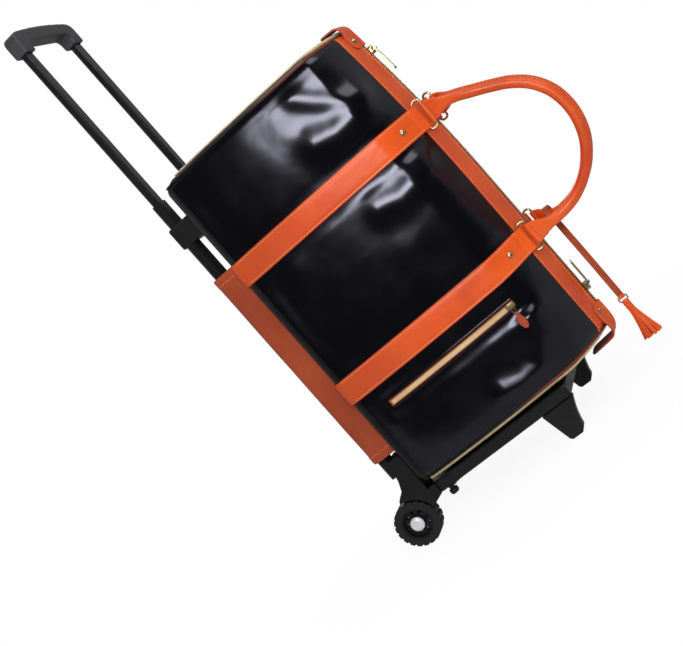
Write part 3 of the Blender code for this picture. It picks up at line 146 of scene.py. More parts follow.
# %% Leather finishes
def leather(name, light, dark, rough, grain, crease, patch=9.0, level=0.5, tint=None):
    """Glazed leather: light and dark dye tones, roughness range, grain and crease heights."""
    made, tree, shader = new_finish(name, specular_ior_level=level)
    where = place_of(tree)
    cloud = add(tree, "ShaderNodeTexNoise", {"Vector": where, "Scale": patch, "Detail": 3.0})
    tone = add(tree, "ShaderNodeMapRange", {"Value": cloud.outputs["Fac"], "From Min": 0.35,
                                            "From Max": 0.65})
    mixed_tone = add(tree, "ShaderNodeMix", {0: tone.outputs["Result"], 6: colour(dark),
                                      7: colour(light)}, data_type="RGBA").outputs[2]
    if tint:
        # A tint mixes one more colour in along one axis; on the strap leather it is painted shade.
        code, axis, low, high = tint
        split = add(tree, "ShaderNodeSeparateXYZ", {"Vector": where})
        share = add(tree, "ShaderNodeMapRange", {"Value": split.outputs[axis], "From Min": low,
                                                 "From Max": high}, interpolation_type="SMOOTHSTEP")
        mixed_tone = add(tree, "ShaderNodeMix", {0: share.outputs["Result"], 6: mixed_tone, 7: colour(code)},
                  data_type="RGBA").outputs[2]
    tree.links.new(mixed_tone, shader.inputs["Base Color"])
    wear = add(tree, "ShaderNodeTexNoise", {"Vector": where, "Scale": 24.0, "Detail": 2.0})
    gloss = add(tree, "ShaderNodeMapRange", {"Value": wear.outputs["Fac"], "From Min": 0.3,
                                             "From Max": 0.7, "To Min": rough[0],
                                             "To Max": rough[1]})
    tree.links.new(gloss.outputs["Result"], shader.inputs["Roughness"])
    pores = add(tree, "ShaderNodeTexVoronoi", {"Vector": where, "Scale": 1 / 0.0013},
                feature="SMOOTH_F1")
    pitted = add(tree, "ShaderNodeBump", {"Height": pores.outputs["Distance"],
                                          "Distance": grain, "Strength": 1.0})
    soft = add(tree, "ShaderNodeTexNoise", {"Vector": place_of(tree, (16, 16, 22)), "Scale": 1.0,
                                            "Detail": 2.0, "Distortion": 0.5})
    rolled = add(tree, "ShaderNodeBump", {"Height": soft.outputs["Fac"], "Distance": crease,
                                          "Strength": 1.0, "Normal": pitted.outputs["Normal"]})
    tree.links.new(rolled.outputs["Normal"], shader.inputs["Normal"])
    return made


# Glazed box calf: near black with a blue cast, mirror-like where it is pulled tight.
black_calf = leather("glazed_black_box_calf", "#08080C", "#050507", (0.17, 0.23),
                     0.00001, 0.0005, level=0.62)
black_calf.node_tree.nodes["Principled BSDF"].inputs["Specular Tint"].default_value = colour(
    "#EAEAFF")
# The same hide left in its grain for the ends and the base: duller, so it never mirrors a lamp.
grained_calf = leather("grained_black_calf", "#0B0B0F", "#060608", (0.36, 0.46), 0.00002, 0.0010,
                       level=0.4)
# Vegetable-tanned strap leather, dyed orange: warm and satin; painted shade browns it towards the
# trolley.
strap_leather = leather("orange_strap_leather", "#DC5614", "#BE3E0C", (0.34, 0.42), 0.00001,
                        0.0008, level=0.35,
                        tint=("#B5441A", 1, WHEEL_Y - 0.20, WHEEL_Y - 0.08))
# The same hide on the rolled handles and bands, evenly dyed.
handle_leather = leather("orange_rolled_leather", "#D65418", "#BA3E0E", (0.30, 0.40), 0.00001,
                         0.0006, level=0.4)
# Painted shade: a browner, duller copy of the orange hide, for the sleeve over the tubes and others.
painted_shade_leather = leather("orange_leather_painted_shade", "#A0421F", "#8A3417", (0.42, 0.54),
                         0.00003, 0.0010, level=0.3)
# Bound and painted edges: brown lines that frame each leather piece, going black towards the
# trolley.
brown_edge = leather("brown_to_black_edge_leather", "#6E2A16", "#571C0E", (0.4, 0.5), 0.00002, 0.0003,
                     level=0.3, tint=("#0C0A0C", 1, WHEEL_Y - 0.27, WHEEL_Y - 0.19))
# Darker orange of the cut edges of straps, sealed with edge paint.
edge_paint = leather("orange_edge_paint", "#A63A12", "#8E2E0D", (0.4, 0.5), 0.00002, 0.0002,
                     level=0.3)
print("leathers", 7)

# %% [markdown]
# Metal, plastic, steel and rubber need less colour and more surface. Brass plate is nearly smooth,
# with hair scratches. Moulded plastic has a spark texture of about half a millimetre. Painted steel
# is smoother with an orange-peel wave. Rubber is dull with a coarse bloom.

# %% Hard finishes
def surface(name, base, rough, spread, bump_scale, bump_height, metal=0.0, **sockets):
    """A plain finish whose roughness wanders by spread and whose bump has a real scale."""
    made, tree, shader = new_finish(name, metallic=metal, **sockets)
    where = place_of(tree)
    patch = add(tree, "ShaderNodeTexNoise", {"Vector": where, "Scale": 22.0, "Detail": 4.0})
    tone = add(tree, "ShaderNodeMapRange", {"Value": patch.outputs["Fac"], "From Min": 0.3,
                                            "From Max": 0.7})
    shade = tuple(v * 0.82 for v in colour(base)[:3]) + (1.0,)
    mixed_tone = add(tree, "ShaderNodeMix", {0: tone.outputs["Result"], 6: shade, 7: colour(base)},
              data_type="RGBA")
    tree.links.new(mixed_tone.outputs[2], shader.inputs["Base Color"])
    gloss = add(tree, "ShaderNodeMapRange", {"Value": patch.outputs["Fac"], "From Min": 0.3,
                                             "From Max": 0.7, "To Min": rough - spread,
                                             "To Max": rough + spread})
    tree.links.new(gloss.outputs["Result"], shader.inputs["Roughness"])
    grit = add(tree, "ShaderNodeTexNoise", {"Vector": where, "Scale": bump_scale, "Detail": 2.0})
    bump = add(tree, "ShaderNodeBump", {"Height": grit.outputs["Fac"], "Distance": bump_height})
    tree.links.new(bump.outputs["Normal"], shader.inputs["Normal"])
    return made


# Brass-plated zinc, polished: pale gold with soft, broken highlights.
gold_plate = surface("polished_brass_plate", "#D8C598", 0.30, 0.05, 900, 0.000004, metal=1.0)
# Injection-moulded ABS with a fine spark texture: a dull, even black.
black_abs = surface("moulded_black_abs", "#111013", 0.40, 0.05, 1200, 0.00001,
                    specular_ior_level=0.4)
# Soft-touch rubber over the grip: a dull dark grey that looks dry.
grip_rubber = surface("soft_touch_grip_rubber", "#35353A", 0.52, 0.05, 1500, 0.00001)
# Satin powder coat on steel rods: dark with a bright line along each rounded edge.
rod_paint = surface("satin_powder_coated_steel", "#151518", 0.30, 0.03, 300, 0.000001)
# Solid tyre rubber with a chalky bloom.
tyre_rubber = surface("solid_tyre_rubber", "#0E0D10", 0.60, 0.08, 700, 0.00003)
# Zinc-plated steel of the axle caps: a light, slightly rough grey.
zinc_steel = surface("zinc_plated_steel", "#E6E5EC", 0.34, 0.08, 900, 0.00001, metal=0.35)
# Cast zip teeth, tumbled and plated: many small facets that read as a pale, creamy gold.
tooth_brass = surface("tumbled_brass_teeth", "#E2CD9C", 0.42, 0.06, 900, 0.00001, metal=0.25)


def woven(name, light, dark, thread):
    """Plain weave with a thread of the given width, and a little sheen."""
    made, tree, shader = new_finish(name, sheen_weight=0.15, roughness=0.8)
    where = place_of(tree)
    waves = [add(tree, "ShaderNodeTexWave", {"Vector": where, "Scale": 1 / thread / 6.28,
                                             "Distortion": 0.3, "Detail": 1.0},
                 bands_direction=axis, wave_type="BANDS") for axis in ("Y", "Z")]
    cross = add(tree, "ShaderNodeMath", {0: waves[0].outputs["Fac"], 1: waves[1].outputs["Fac"]},
                operation="MULTIPLY")
    mixed_tone = add(tree, "ShaderNodeMix", {0: cross.outputs[0], 6: colour(dark), 7: colour(light)},
              data_type="RGBA")
    tree.links.new(mixed_tone.outputs[2], shader.inputs["Base Color"])
    bump = add(tree, "ShaderNodeBump", {"Height": cross.outputs[0], "Distance": 0.0002})
    tree.links.new(bump.outputs["Normal"], shader.inputs["Normal"])
    return made


# Woven polyester zip tape, drawn with a 1.2 mm rib so that it shows.
zip_tape = woven("brown_zip_tape", "#4A2A1C", "#2C1810", 0.0012)
# Cotton twill lining, a warm dark grey.
lining = woven("twill_lining", "#4B443F", "#35302C", 0.0016)
# Waxed thread in the colour of the leather, a shade lighter.
thread_orange = surface("waxed_orange_thread", "#F2A06C", 0.5, 0.05, 3000, 0.0001)
thread_black = surface("waxed_black_thread", "#1B1C22", 0.5, 0.05, 3000, 0.0001)
print("finishes", len(bpy.data.materials))


# %% [markdown]
# Every leather piece here is a closed skin between two grids of points, and every rolled piece is
# a row of rings. Two builders are enough. Grids could be drawn by hand in Edit Mode, but numbers
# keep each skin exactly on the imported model.

# %% Mesh builders
def finish_mesh(name, points, faces, finishes, marks=None, angle=45):
    """Links a new smooth mesh, carried from the wheel line to the model's origin."""
    mesh = bpy.data.meshes.new(name)
    points = np.asarray(points, dtype=float).reshape(-1, 3) + (0, WHEEL_Y, 0)
    mesh.from_pydata([tuple(p) for p in points], [], [tuple(int(i) for i in f) for f in faces])
    for finish in finishes:
        mesh.materials.append(finish)
    if marks is not None:
        mesh.polygons.foreach_set("material_index", np.asarray(marks, dtype=np.int32))
    bm = bmesh.new()
    bm.from_mesh(mesh)
    bmesh.ops.remove_doubles(bm, verts=bm.verts, dist=1e-7)
    bmesh.ops.recalc_face_normals(bm, faces=bm.faces)
    if bm.calc_volume(signed=True) < 0:
        bmesh.ops.reverse_faces(bm, faces=bm.faces)
    bm.to_mesh(mesh)
    bm.free()
    mesh.shade_smooth()
    mesh.set_sharp_from_angle(angle=radians(angle))
    piece = bpy.data.objects.new(name, mesh)
    bpy.context.scene.collection.objects.link(piece)
    return piece


def skin_between(name, outer, inner, finishes, edge=2, angle=45, dome=False):
    """Closed leather from an outer and an inner grid; finishes are face, back and edge.

    A dome's columns meet and its last row is one point, so only its first row has an edge.
    """
    outer, inner = np.asarray(outer), np.asarray(inner)
    rows, cols = outer.shape[:2]
    cell = np.arange(rows * cols).reshape(rows, cols)
    quads = np.stack([cell[:-1, :-1], cell[:-1, 1:], cell[1:, 1:], cell[1:, :-1]], -1).reshape(-1, 4)
    back = quads[:, ::-1] + rows * cols
    rim = list(cell[0, :]) + list(cell[1:, -1]) + list(cell[-1, -2::-1]) + list(cell[-2:0:-1, 0])
    pairs = zip(cell[0, :-1], cell[0, 1:]) if dome else zip(rim, rim[1:] + rim[:1])
    wall = [(a, a + rows * cols, b + rows * cols, b) for a, b in pairs]
    marks = [0] * len(quads) + [min(1, len(finishes) - 1)] * len(back)
    marks += [min(edge, len(finishes) - 1)] * len(wall)
    points = np.concatenate([outer.reshape(-1, 3), inner.reshape(-1, 3)])
    return finish_mesh(name, points, list(quads) + list(back) + wall, finishes, marks, angle)


def rings_of(name, rings, finishes, closed=False, marks=None, angle=45):
    """A tube of rings, capped at both ends or closed on itself; marks colour each ring's side."""
    rings = np.asarray(rings)
    count, sides = rings.shape[:2]
    cell = np.arange(count * sides).reshape(count, sides)
    following = np.roll(cell, -1, axis=0) if closed else cell[1:]
    start = cell if closed else cell[:-1]
    quads = np.stack([start, np.roll(start, -1, 1), np.roll(following, -1, 1), following], -1)
    colours = list(np.tile(marks, len(start))) if marks is not None else [0] * quads.shape[0] * sides
    quads = list(quads.reshape(-1, 4))
    points = list(rings.reshape(-1, 3))
    if not closed:
        for ring, flip in ((cell[0], 1), (cell[-1], -1)):
            centre = len(points)
            points.append(np.mean([points[i] for i in ring], axis=0))
            for i in range(sides):
                pair = (ring[i], ring[(i + 1) % sides])[::-flip]
                quads.append((*pair, centre))
                colours.append(0)
    return finish_mesh(name, points, quads, finishes, colours, angle)


def joined(name, *pieces):
    """Several meshes as one object, with their finishes merged."""
    bm = bmesh.new()
    finishes = []
    for piece in pieces:
        first = len(bm.faces)
        bm.from_mesh(piece.data)
        bm.faces.ensure_lookup_table()
        slots = [m for m in piece.data.materials]
        for m in slots:
            if m not in finishes:
                finishes.append(m)
        for face in list(bm.faces)[first:]:
            face.material_index = finishes.index(slots[face.material_index])
    mesh = bpy.data.meshes.new(name)
    bm.to_mesh(mesh)
    bm.free()
    for m in finishes:
        mesh.materials.append(m)
    for piece in pieces:
        old = piece.data
        bpy.data.objects.remove(piece)
        bpy.data.meshes.remove(old)
    made = bpy.data.objects.new(name, mesh)
    bpy.context.scene.collection.objects.link(made)
    return made


def belongs(piece, body, slot, *nodes):
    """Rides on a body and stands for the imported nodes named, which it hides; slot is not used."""
    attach(piece, body)
    if nodes:
        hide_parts(*nodes)
    return piece


def smooth_line(points, count):
    """Evenly spaced points on a Catmull-Rom curve through the given ones."""
    p = np.asarray(points, dtype=float)
    p = np.vstack([2 * p[0] - p[1], p, 2 * p[-1] - p[-2]])
    dense = []
    for i in range(1, len(p) - 2):
        for t in np.linspace(0, 1, 24, endpoint=False):
            a, b, c, d = p[i - 1:i + 3]
            dense.append(0.5 * (2 * b + (c - a) * t + (2 * a - 5 * b + 4 * c - d) * t * t
                                + (3 * b - a - 3 * c + d) * t ** 3))
    dense.append(p[-2])
    return even(dense, count)


def even(points, count):
    """The same polyline with evenly spaced points."""
    points = np.asarray(points, dtype=float)
    run = np.concatenate([[0], np.cumsum(np.linalg.norm(np.diff(points, axis=0), axis=1))])
    at = np.linspace(0, run[-1], count)
    return np.stack([np.interp(at, run, points[:, k]) for k in range(points.shape[1])], 1)


print("mesh builders ready")

# %% [markdown]
# The bag's skin is a section carried along its length and rolled in at both ends, like a loaf.
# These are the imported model's own numbers: a slightly bulged side, a rounded shoulder, and a flat
# band that climbs to the ridge where the zip runs. The ridge bends back near the handle end.

# %% The bag's section
HINGE, SHOULDER, SEAM, RIDGE = (-.120, -.058), (-.103, -.295), (-.045, -.344), (0.0, -.357)
ARC_X, ARC_Y, ARC_R = 0.6661409, -0.1207198, 0.7886389
ZIP_HALF, RIDGE_BAND = 6 * MM, 45 * MM
WHEEL_END, HANDLE_END, END_ROUND = 0.086, 0.574, 0.016
HALF_WIDE, MIDDLE_Y, HALF_DEEP = 0.12, -0.201, 0.156
RIDGE_BEND_FROM, RIDGE_BEND_RADIUS = 0.333, 2.0
TAPE = np.array(SEAM) + (np.array(RIDGE) - SEAM) * (1 - ZIP_HALF / RIDGE_BAND)


def bend(first, control, last, count):
    """A curve from first to last that leaves and arrives towards the control point."""
    t = np.linspace(0, 1, count)[:, None]
    first, control, last = map(np.array, (first, control, last))
    return (1 - t) ** 2 * first + 2 * t * (1 - t) * control + t * t * last


def side_at(y):
    """Point and outward direction of the near side at y."""
    x = ARC_X - np.sqrt(ARC_R ** 2 - (y - ARC_Y) ** 2)
    out = np.array([x - ARC_X, y - ARC_Y]) / ARC_R
    return np.array([x, y]), out


def outward(points):
    """Outward directions of a section line that runs from the base round to the ridge."""
    along = np.gradient(np.asarray(points), axis=0)
    along /= np.linalg.norm(along, axis=1)[:, None]
    return np.stack([along[:, 1], -along[:, 0]], 1)


start_dir = np.array([-(SHOULDER[1] - ARC_Y), SHOULDER[0] - ARC_X]) / ARC_R
end_dir = np.array([sin(radians(62)), -cos(radians(62))])
span = np.array(SEAM) - SHOULDER
reach = (span[0] * end_dir[1] - span[1] * end_dir[0]) / (start_dir[0] * end_dir[1]
                                                         - start_dir[1] * end_dir[0])
arc_y = np.linspace(HINGE[1], SHOULDER[1], 72)
SIDE_LINE = np.stack([ARC_X - np.sqrt(ARC_R ** 2 - (arc_y - ARC_Y) ** 2), arc_y], 1)
SHOULDER_LINE = bend(SHOULDER, np.array(SHOULDER) + start_dir * reach, SEAM, 30)
CORNER_LINE = bend((-.107, -.045), (-.11974, -.045), HINGE, 12)
BASE_LINE = np.stack([np.linspace(0, -.107, 30), np.full(30, -.045)], 1)
BAND_LINE = np.linspace(SEAM, TAPE, 12)
PANEL_LINE = np.vstack([SIDE_LINE, SHOULDER_LINE[1:]])
RIM_LINE = np.vstack([BASE_LINE, CORNER_LINE[1:], PANEL_LINE[1:], BAND_LINE[1:], [RIDGE]])
print("section points", len(RIM_LINE), "shoulder reach", round(float(reach), 4))


def ridge_dip(z):
    """How far the ridge has bent back at this height, on a wide arc towards the handle end."""
    rise = np.maximum(0.0, np.asarray(z) - RIDGE_BEND_FROM)
    return RIDGE_BEND_RADIUS - np.sqrt(RIDGE_BEND_RADIUS ** 2 - rise ** 2)


def dipped(y, z):
    """How far the ridge's bend carries a point of the section back at this height."""
    return ridge_dip(z) * np.clip((SHOULDER[1] - np.asarray(y)) / (SHOULDER[1] - RIDGE[1]), 0, 1)


def end_z(end):
    """The height where an end starts to roll in: -1 is the wheel end, 1 the handle end."""
    return HANDLE_END if end > 0 else WHEEL_END


def on_skin(points, normals, station, lift):
    """Section points carried to a station (height, end, roll) and lifted off the skin."""
    z0, end, roll = station
    lift = np.asarray(lift, dtype=float)
    flat = points + normals * (lift[:, None] if lift.ndim else lift)
    inset = (END_ROUND + lift) * (1 - cos(roll)) if end else np.zeros(len(points))
    z = np.full(len(points), z0) + end * (END_ROUND + lift) * sin(roll)
    x = flat[:, 0] * (1 - inset / HALF_WIDE)
    y = MIDDLE_Y + (flat[:, 1] - MIDDLE_Y) * (1 - inset / HALF_DEEP)
    return np.stack([x, y + dipped(y, z), z], 1)


def stations(edge, count, roll_steps=5):
    """From one rolled edge over the straight length to the other."""
    rolls = [radians(edge) * k / roll_steps for k in range(1, roll_steps + 1)]
    rows = [(WHEEL_END, -1, roll) for roll in rolls[::-1]]
    rows += [(z, 0, 0.0) for z in np.linspace(WHEEL_END, HANDLE_END, count)]
    return rows + [(HANDLE_END, 1, roll) for roll in rolls]


def to_side(grid, side):
    """Near-side points as they are, or mirrored for the far side."""
    return np.asarray(grid) * ((1, 1, 1) if side < 0 else (-1, 1, 1))


# %% [markdown]
# The walls are the largest surface, so their folds matter most. A cloth simulation could find
# folds, but these are glued leather over board and each fold has a known place, so they are
# written down: every fold is a line of points with a height and a width, and a wall rises between
# the straps and stays down where a strap or the pocket presses on it. A fold is wide and low, so
# that one flank faces the lamp and shines while the other stays black.

# %% Folds of the walls
# Each fold: points (y, z) in mm from the wheel line, height and width in mm.
FOLDS = [
    ([(-348, 533), (-324, 506), (-303, 491), (-269, 489), (-244, 498)], 5.4, 15),
    ([(-256, 560), (-275, 538), (-298, 518), (-322, 508)], 2.6, 9),
    ([(-345, 404), (-322, 392), (-303, 379), (-278, 376), (-250, 384)], 5.0, 14),
    ([(-318, 345), (-286, 330), (-254, 322)], 1.6, 16),
    ([(-302, 162), (-294, 130), (-274, 99), (-244, 95), (-220, 102)], 5.4, 12),
    ([(-110, 390), (-75, 355), (-62, 320)], 2.2, 22),
    ([(-100, 224), (-61, 192), (-82, 130), (-120, 104)], 2.2, 22),
]
STRAP_Z = {"upper": 0.4365, "lower": 0.2305}
POCKET_Z = 0.184
LEATHER = 3 * MM


def ease(value, low, high):
    """Zero below low, one above high, and a smooth climb between them."""
    t = np.clip((np.asarray(value) - low) / (high - low), 0, 1)
    return t * t * (3 - 2 * t)


def near_line(y, z, line):
    """Distance of every point to a polyline."""
    best = np.full(np.shape(y), 9.0)
    for (ay, az), (by, bz) in zip(line, line[1:]):
        dy, dz = by - ay, bz - az
        t = np.clip(((y - ay) * dy + (z - az) * dz) / (dy * dy + dz * dz), 0, 1)
        best = np.minimum(best, np.hypot(y - ay - t * dy, z - az - t * dz))
    return best


def wall_lift(y, z, folds, pocket):
    """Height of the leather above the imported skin."""
    lift = np.zeros(np.shape(y))
    for low, high in ((0.070, 0.2105), (0.2505, 0.4165), (0.4565, 0.590)):
        share = np.clip((z - low) / (high - low), 0, 1)
        lift += 0.0022 * np.sin(pi * share) ** 0.7 * (share > 0) * (share < 1)
    for line, height, width in folds:
        away = near_line(y, z, [(a * MM, b * MM) for a, b in line])
        lift += height * MM * np.exp(-0.5 * (away / (width * MM)) ** 2)
    ripple = np.array([[noise.noise(Vector((a * 26, b * 17, 3.1))) for a, b in zip(*row)]
                       for row in zip(y, z)])
    lift += 0.0007 * ripple
    held = np.ones(np.shape(y))
    for level in STRAP_Z.values():
        held *= ease(np.abs(z - level), 0.018, 0.034)
    held *= ease(y, -0.346, -0.318) * ease(-y, 0.058, 0.085)
    held *= ease(z, 0.078, 0.100) * ease(-z, -0.584, -0.560)
    if pocket:
        inside = ease(-y, 0.060, 0.098) * ease(y, -0.325, -0.300)
        held *= 1 - inside * (1 - ease(np.abs(z - POCKET_Z), 0.010, 0.026))
    return lift * held


def side_wall(label, side, folds):
    """One side wall with its lining, thick at the folds and thin at the seams."""
    points = even(PANEL_LINE, 130)
    points[0] += (points[1] - points[0]) * 0.05
    normals = outward(points)
    rows = stations(36, 190)
    outer, inner = [], []
    heights = np.array([z0 + end * END_ROUND * sin(roll) for z0, end, roll in rows])
    lifts = wall_lift(np.tile(points[:, 1], (len(rows), 1)),
                      np.tile(heights[:, None], (1, len(points))), folds, side < 0)
    for row, lift in zip(rows, lifts):
        outer.append(on_skin(points, normals, row, lift))
        inner.append(on_skin(points, normals, row, -LEATHER))
    return skin_between(label + "_side_leather", to_side(outer, side), to_side(inner, side),
                        [black_calf, lining, brown_edge])


def other_folds(shift, scale):
    """A different hand of folds for the far side."""
    return [([(a + shift * sin(i + b * 0.01), b + shift * cos(i * 1.7)) for a, b in line],
             height * scale, width) for i, (line, height, width) in enumerate(FOLDS)]


near_wall = side_wall("near", -1, FOLDS)
far_wall = side_wall("far", 1, other_folds(14, 0.8))
belongs(near_wall, "near_panel", "black_leather", "near_side_panel")
belongs(far_wall, "case", "black_leather", "far_side_panel")
print("side walls", len(near_wall.data.polygons), "faces each")

# %% [markdown]
# The base board and the two dished ends close the bag. The ends roll in at the rim and crown a
# little, with shallow dents, as leather over foam does.

# %% Base and ends
def base_board():
    """The flat bottom with its two rounded corners."""
    near = np.vstack([BASE_LINE, CORNER_LINE[1:]])
    near[-1] += (near[-2] - near[-1]) * 0.1
    points = np.vstack([(near * (-1, 1))[::-1], near[1:]])
    normals = outward(near)
    normals = np.vstack([(normals * (-1, 1))[::-1], normals[1:]])
    rows = stations(36, 40)
    outer = [on_skin(points, normals, r, 0.0) for r in rows]
    inner = [on_skin(points, normals, r, -LEATHER) for r in rows]
    return skin_between("base_board_leather", outer, inner, [grained_calf, lining, brown_edge])


belongs(base_board(), "case", "black_leather", "base_board")


def end_wall(name, end):
    """A dished end that rolls in from the rim to a low crown, with shallow dents."""
    near = even(RIM_LINE, 120)
    normals = outward(near)
    ring = np.vstack([near, (near * (-1, 1))[::-1][1:-1]])
    out = np.vstack([normals, (normals * (-1, 1))[::-1][1:-1]])
    grids = []
    for depth in (0.0, -LEATHER):
        rows = [on_skin(ring, out, (end_z(end), end, radians(a)), depth)
                for a in np.linspace(44, 90, 9)]
        last = rows[-1]
        for share in np.linspace(0, 1, 26)[1:]:
            kept = 1 - share
            puff = 0.005 * (1 - kept ** 2.2) * end
            row = np.stack([last[:, 0] * kept, MIDDLE_Y + (last[:, 1] - MIDDLE_Y) * kept,
                            last[:, 2] + puff], 1)
            dents = np.array([noise.noise(Vector((x * 16, y * 16, 7.7 * end))) for x, y, z in row])
            row[:, 2] += end * 0.0016 * dents * sin(pi * kept) ** 2
            rows.append(row)
        grids.append(np.array(rows))
    outer, inner = (np.concatenate([g, g[:, :1]], axis=1) for g in grids)
    return skin_between(name, outer, inner, [grained_calf, lining, brown_edge], dome=True)


belongs(end_wall("wheel_end_leather", -1), "case", "black_leather", "wheel_end_panel")
belongs(end_wall("handle_end_leather", 1), "case", "black_leather", "handle_end_panel")
print("ends done")

# %% [markdown]
# The two orange bands flank the ridge zip. They are a separate layer half a millimetre proud of
# the walls, so their cut edge shows as a fine painted line.

# %% Ridge bands and zip tapes
BAND_OPEN = 3.6 * MM         # from the ridge to the band's edge, where the teeth show
BAND_EDGE = np.array(SEAM) + (np.array(RIDGE) - SEAM) * (1 - BAND_OPEN / RIDGE_BAND)
for label, side, body in (("near", -1, "near_panel"), ("far", 1, "case")):
    points = even([SEAM, BAND_EDGE], 26)
    normals = outward(points)
    crown = 0.0005 + 0.0005 * np.sin(pi * np.linspace(0, 1, 26)) ** 0.5
    rows = stations(36, 80)
    outer = [on_skin(points, normals, r, crown) for r in rows]
    inner = [on_skin(points, normals, r, -LEATHER) for r in rows]
    band = skin_between(label + "_band_leather", to_side(outer, side), to_side(inner, side),
                        [handle_leather, lining, edge_paint])
    belongs(band, body, "orange_leather", label + "_top_band")
    tape_points = np.linspace(TAPE, RIDGE, 8)
    tape_normals = outward(tape_points)
    tape_rows = [(z, 0, 0.0) for z in np.linspace(WHEEL_END, HANDLE_END, 90)]
    outer = [on_skin(tape_points, tape_normals, r, -0.0003) for r in tape_rows]
    inner = [on_skin(tape_points, tape_normals, r, -0.0014) for r in tape_rows]
    tape = skin_between(label + "_zip_tape", to_side(outer, side), to_side(inner, side),
                        [zip_tape, zip_tape, zip_tape])
    belongs(tape, body, "gold_metal", label + "_ridge_zip")
print("bands and tapes done")


# %% [markdown]
# Stitches and zip teeth are the same idea: one small shape repeated along a line at a fixed step.
# Geometry Nodes do this once for all of them. The line is a chain of edges that carries an
# outward direction, the tree spaces the shape along it and stands it up on that direction, and a
# seeded random turn keeps hand work from looking like a ruler.

# %% A Geometry Nodes tree for repeats along a line
def row_tree():
    """The shared tree: a line, a step, a shape's size, and a finish go in, a row comes out."""
    tree = bpy.data.node_groups.new("row_along_line", "GeometryNodeTree")
    sockets = [("Line", "NodeSocketGeometry"), ("Step", "NodeSocketFloat"),
               ("Size", "NodeSocketVector"), ("Round", "NodeSocketBool"),
               ("Wander", "NodeSocketFloat"), ("Finish", "NodeSocketMaterial")]
    for label, kind in sockets:
        tree.interface.new_socket(label, in_out="INPUT", socket_type=kind)
    tree.interface.new_socket("Row", in_out="OUTPUT", socket_type="NodeSocketGeometry")
    given = add(tree, "NodeGroupInput").outputs
    line = add(tree, "GeometryNodeMeshToCurve", {"Mesh": given["Line"]})
    spaced = add(tree, "GeometryNodeResampleCurve", {"Curve": line.outputs[0],
                                                     "Length": given["Step"]}, mode="LENGTH")
    ball = add(tree, "GeometryNodeMeshUVSphere", {"Segments": 6, "Rings": 4, "Radius": 0.5})
    brick = add(tree, "GeometryNodeMeshCube", {"Size": (1.0, 1.0, 1.0)})
    shape = add(tree, "GeometryNodeSwitch", {"Switch": given["Round"], "False": brick.outputs[0],
                                             "True": ball.outputs[0]}, input_type="GEOMETRY")
    tangent = add(tree, "GeometryNodeInputTangent")
    out = add(tree, "GeometryNodeInputNamedAttribute", {"Name": "out"}, data_type="FLOAT_VECTOR")
    facing = add(tree, "FunctionNodeAlignRotationToVector", {"Vector": tangent.outputs[0]},
                 axis="X")
    upright = add(tree, "FunctionNodeAlignRotationToVector",
                  {"Rotation": facing.outputs[0], "Vector": out.outputs[0]}, axis="Z",
                  pivot_axis="X")
    chance = add(tree, "FunctionNodeRandomValue", {"Min": -1.0, "Max": 1.0, "Seed": 7})
    wander = add(tree, "ShaderNodeMath", {0: chance.outputs[1], 1: given["Wander"]},
                 operation="MULTIPLY")
    turn_z = add(tree, "ShaderNodeCombineXYZ", {"Z": wander.outputs[0]})
    turned = add(tree, "FunctionNodeEulerToRotation", {0: turn_z.outputs[0]})
    posed = add(tree, "FunctionNodeRotateRotation", {"Rotation": upright.outputs[0],
                                                     "Rotate By": turned.outputs[0]},
                rotation_space="LOCAL")
    placed = add(tree, "GeometryNodeInstanceOnPoints",
                 {"Points": spaced.outputs[0], "Instance": shape.outputs[0],
                  "Rotation": posed.outputs[0], "Scale": given["Size"]})
    real = add(tree, "GeometryNodeRealizeInstances", {"Geometry": placed.outputs[0]})
    finished = add(tree, "GeometryNodeSetMaterial", {"Geometry": real.outputs[0],
                                                     "Material": given["Finish"]})
    add(tree, "NodeGroupOutput", {"Row": finished.outputs[0]})
    return tree


ROW = row_tree()


def row_along(name, lines, step, size, finish, rounded=True, wander=0.0):
    """Repeats a stitch or a tooth along lines; each line is (points, outward directions)."""
    mesh = bpy.data.meshes.new(name + "_line")
    points, edges, outs = [], [], []
    for line, out in lines:
        first = len(points)
        points += [tuple(p) for p in np.asarray(line) + (0, WHEEL_Y, 0)]
        outs += [tuple(n) for n in out]
        edges += [(i, i + 1) for i in range(first, len(points) - 1)]
    mesh.from_pydata(points, edges, [])
    mesh.attributes.new("out", "FLOAT_VECTOR", "POINT").data.foreach_set(
        "vector", np.asarray(outs, dtype=float).ravel())
    carrier = bpy.data.objects.new(name + "_line", mesh)
    bpy.context.scene.collection.objects.link(carrier)
    modifier = carrier.modifiers.new("row", "NODES")
    modifier.node_group = ROW
    values = {"Step": step, "Size": size, "Round": rounded, "Wander": wander, "Finish": finish}
    for item in ROW.interface.items_tree:
        if item.in_out == "INPUT" and item.name in values:
            modifier[item.identifier] = values[item.name]
    graph = bpy.context.evaluated_depsgraph_get()
    made = bpy.data.meshes.new_from_object(carrier.evaluated_get(graph))
    made.name = name
    carrier.modifiers.clear()
    bpy.data.objects.remove(carrier)
    if rounded:
        made.shade_smooth()
    piece = bpy.data.objects.new(name, made)
    bpy.context.scene.collection.objects.link(piece)
    return piece


def skin_line(station_rows, point, normal, lift, side):
    """A line along the bag at one point of the section, with its outward directions."""
    p, n = np.array([point]), np.array([normal])
    line = np.array([on_skin(p, n, r, lift)[0] for r in station_rows])
    return to_side(line, side), [(-side * normal[0], normal[1], 0)] * len(line)


print("row tree", len(ROW.nodes), "nodes")

# %% [markdown]
# The first rows: the ridge zip's teeth, pressed onto the edge of each tape, and one line of
# stitches along each edge of the orange bands.

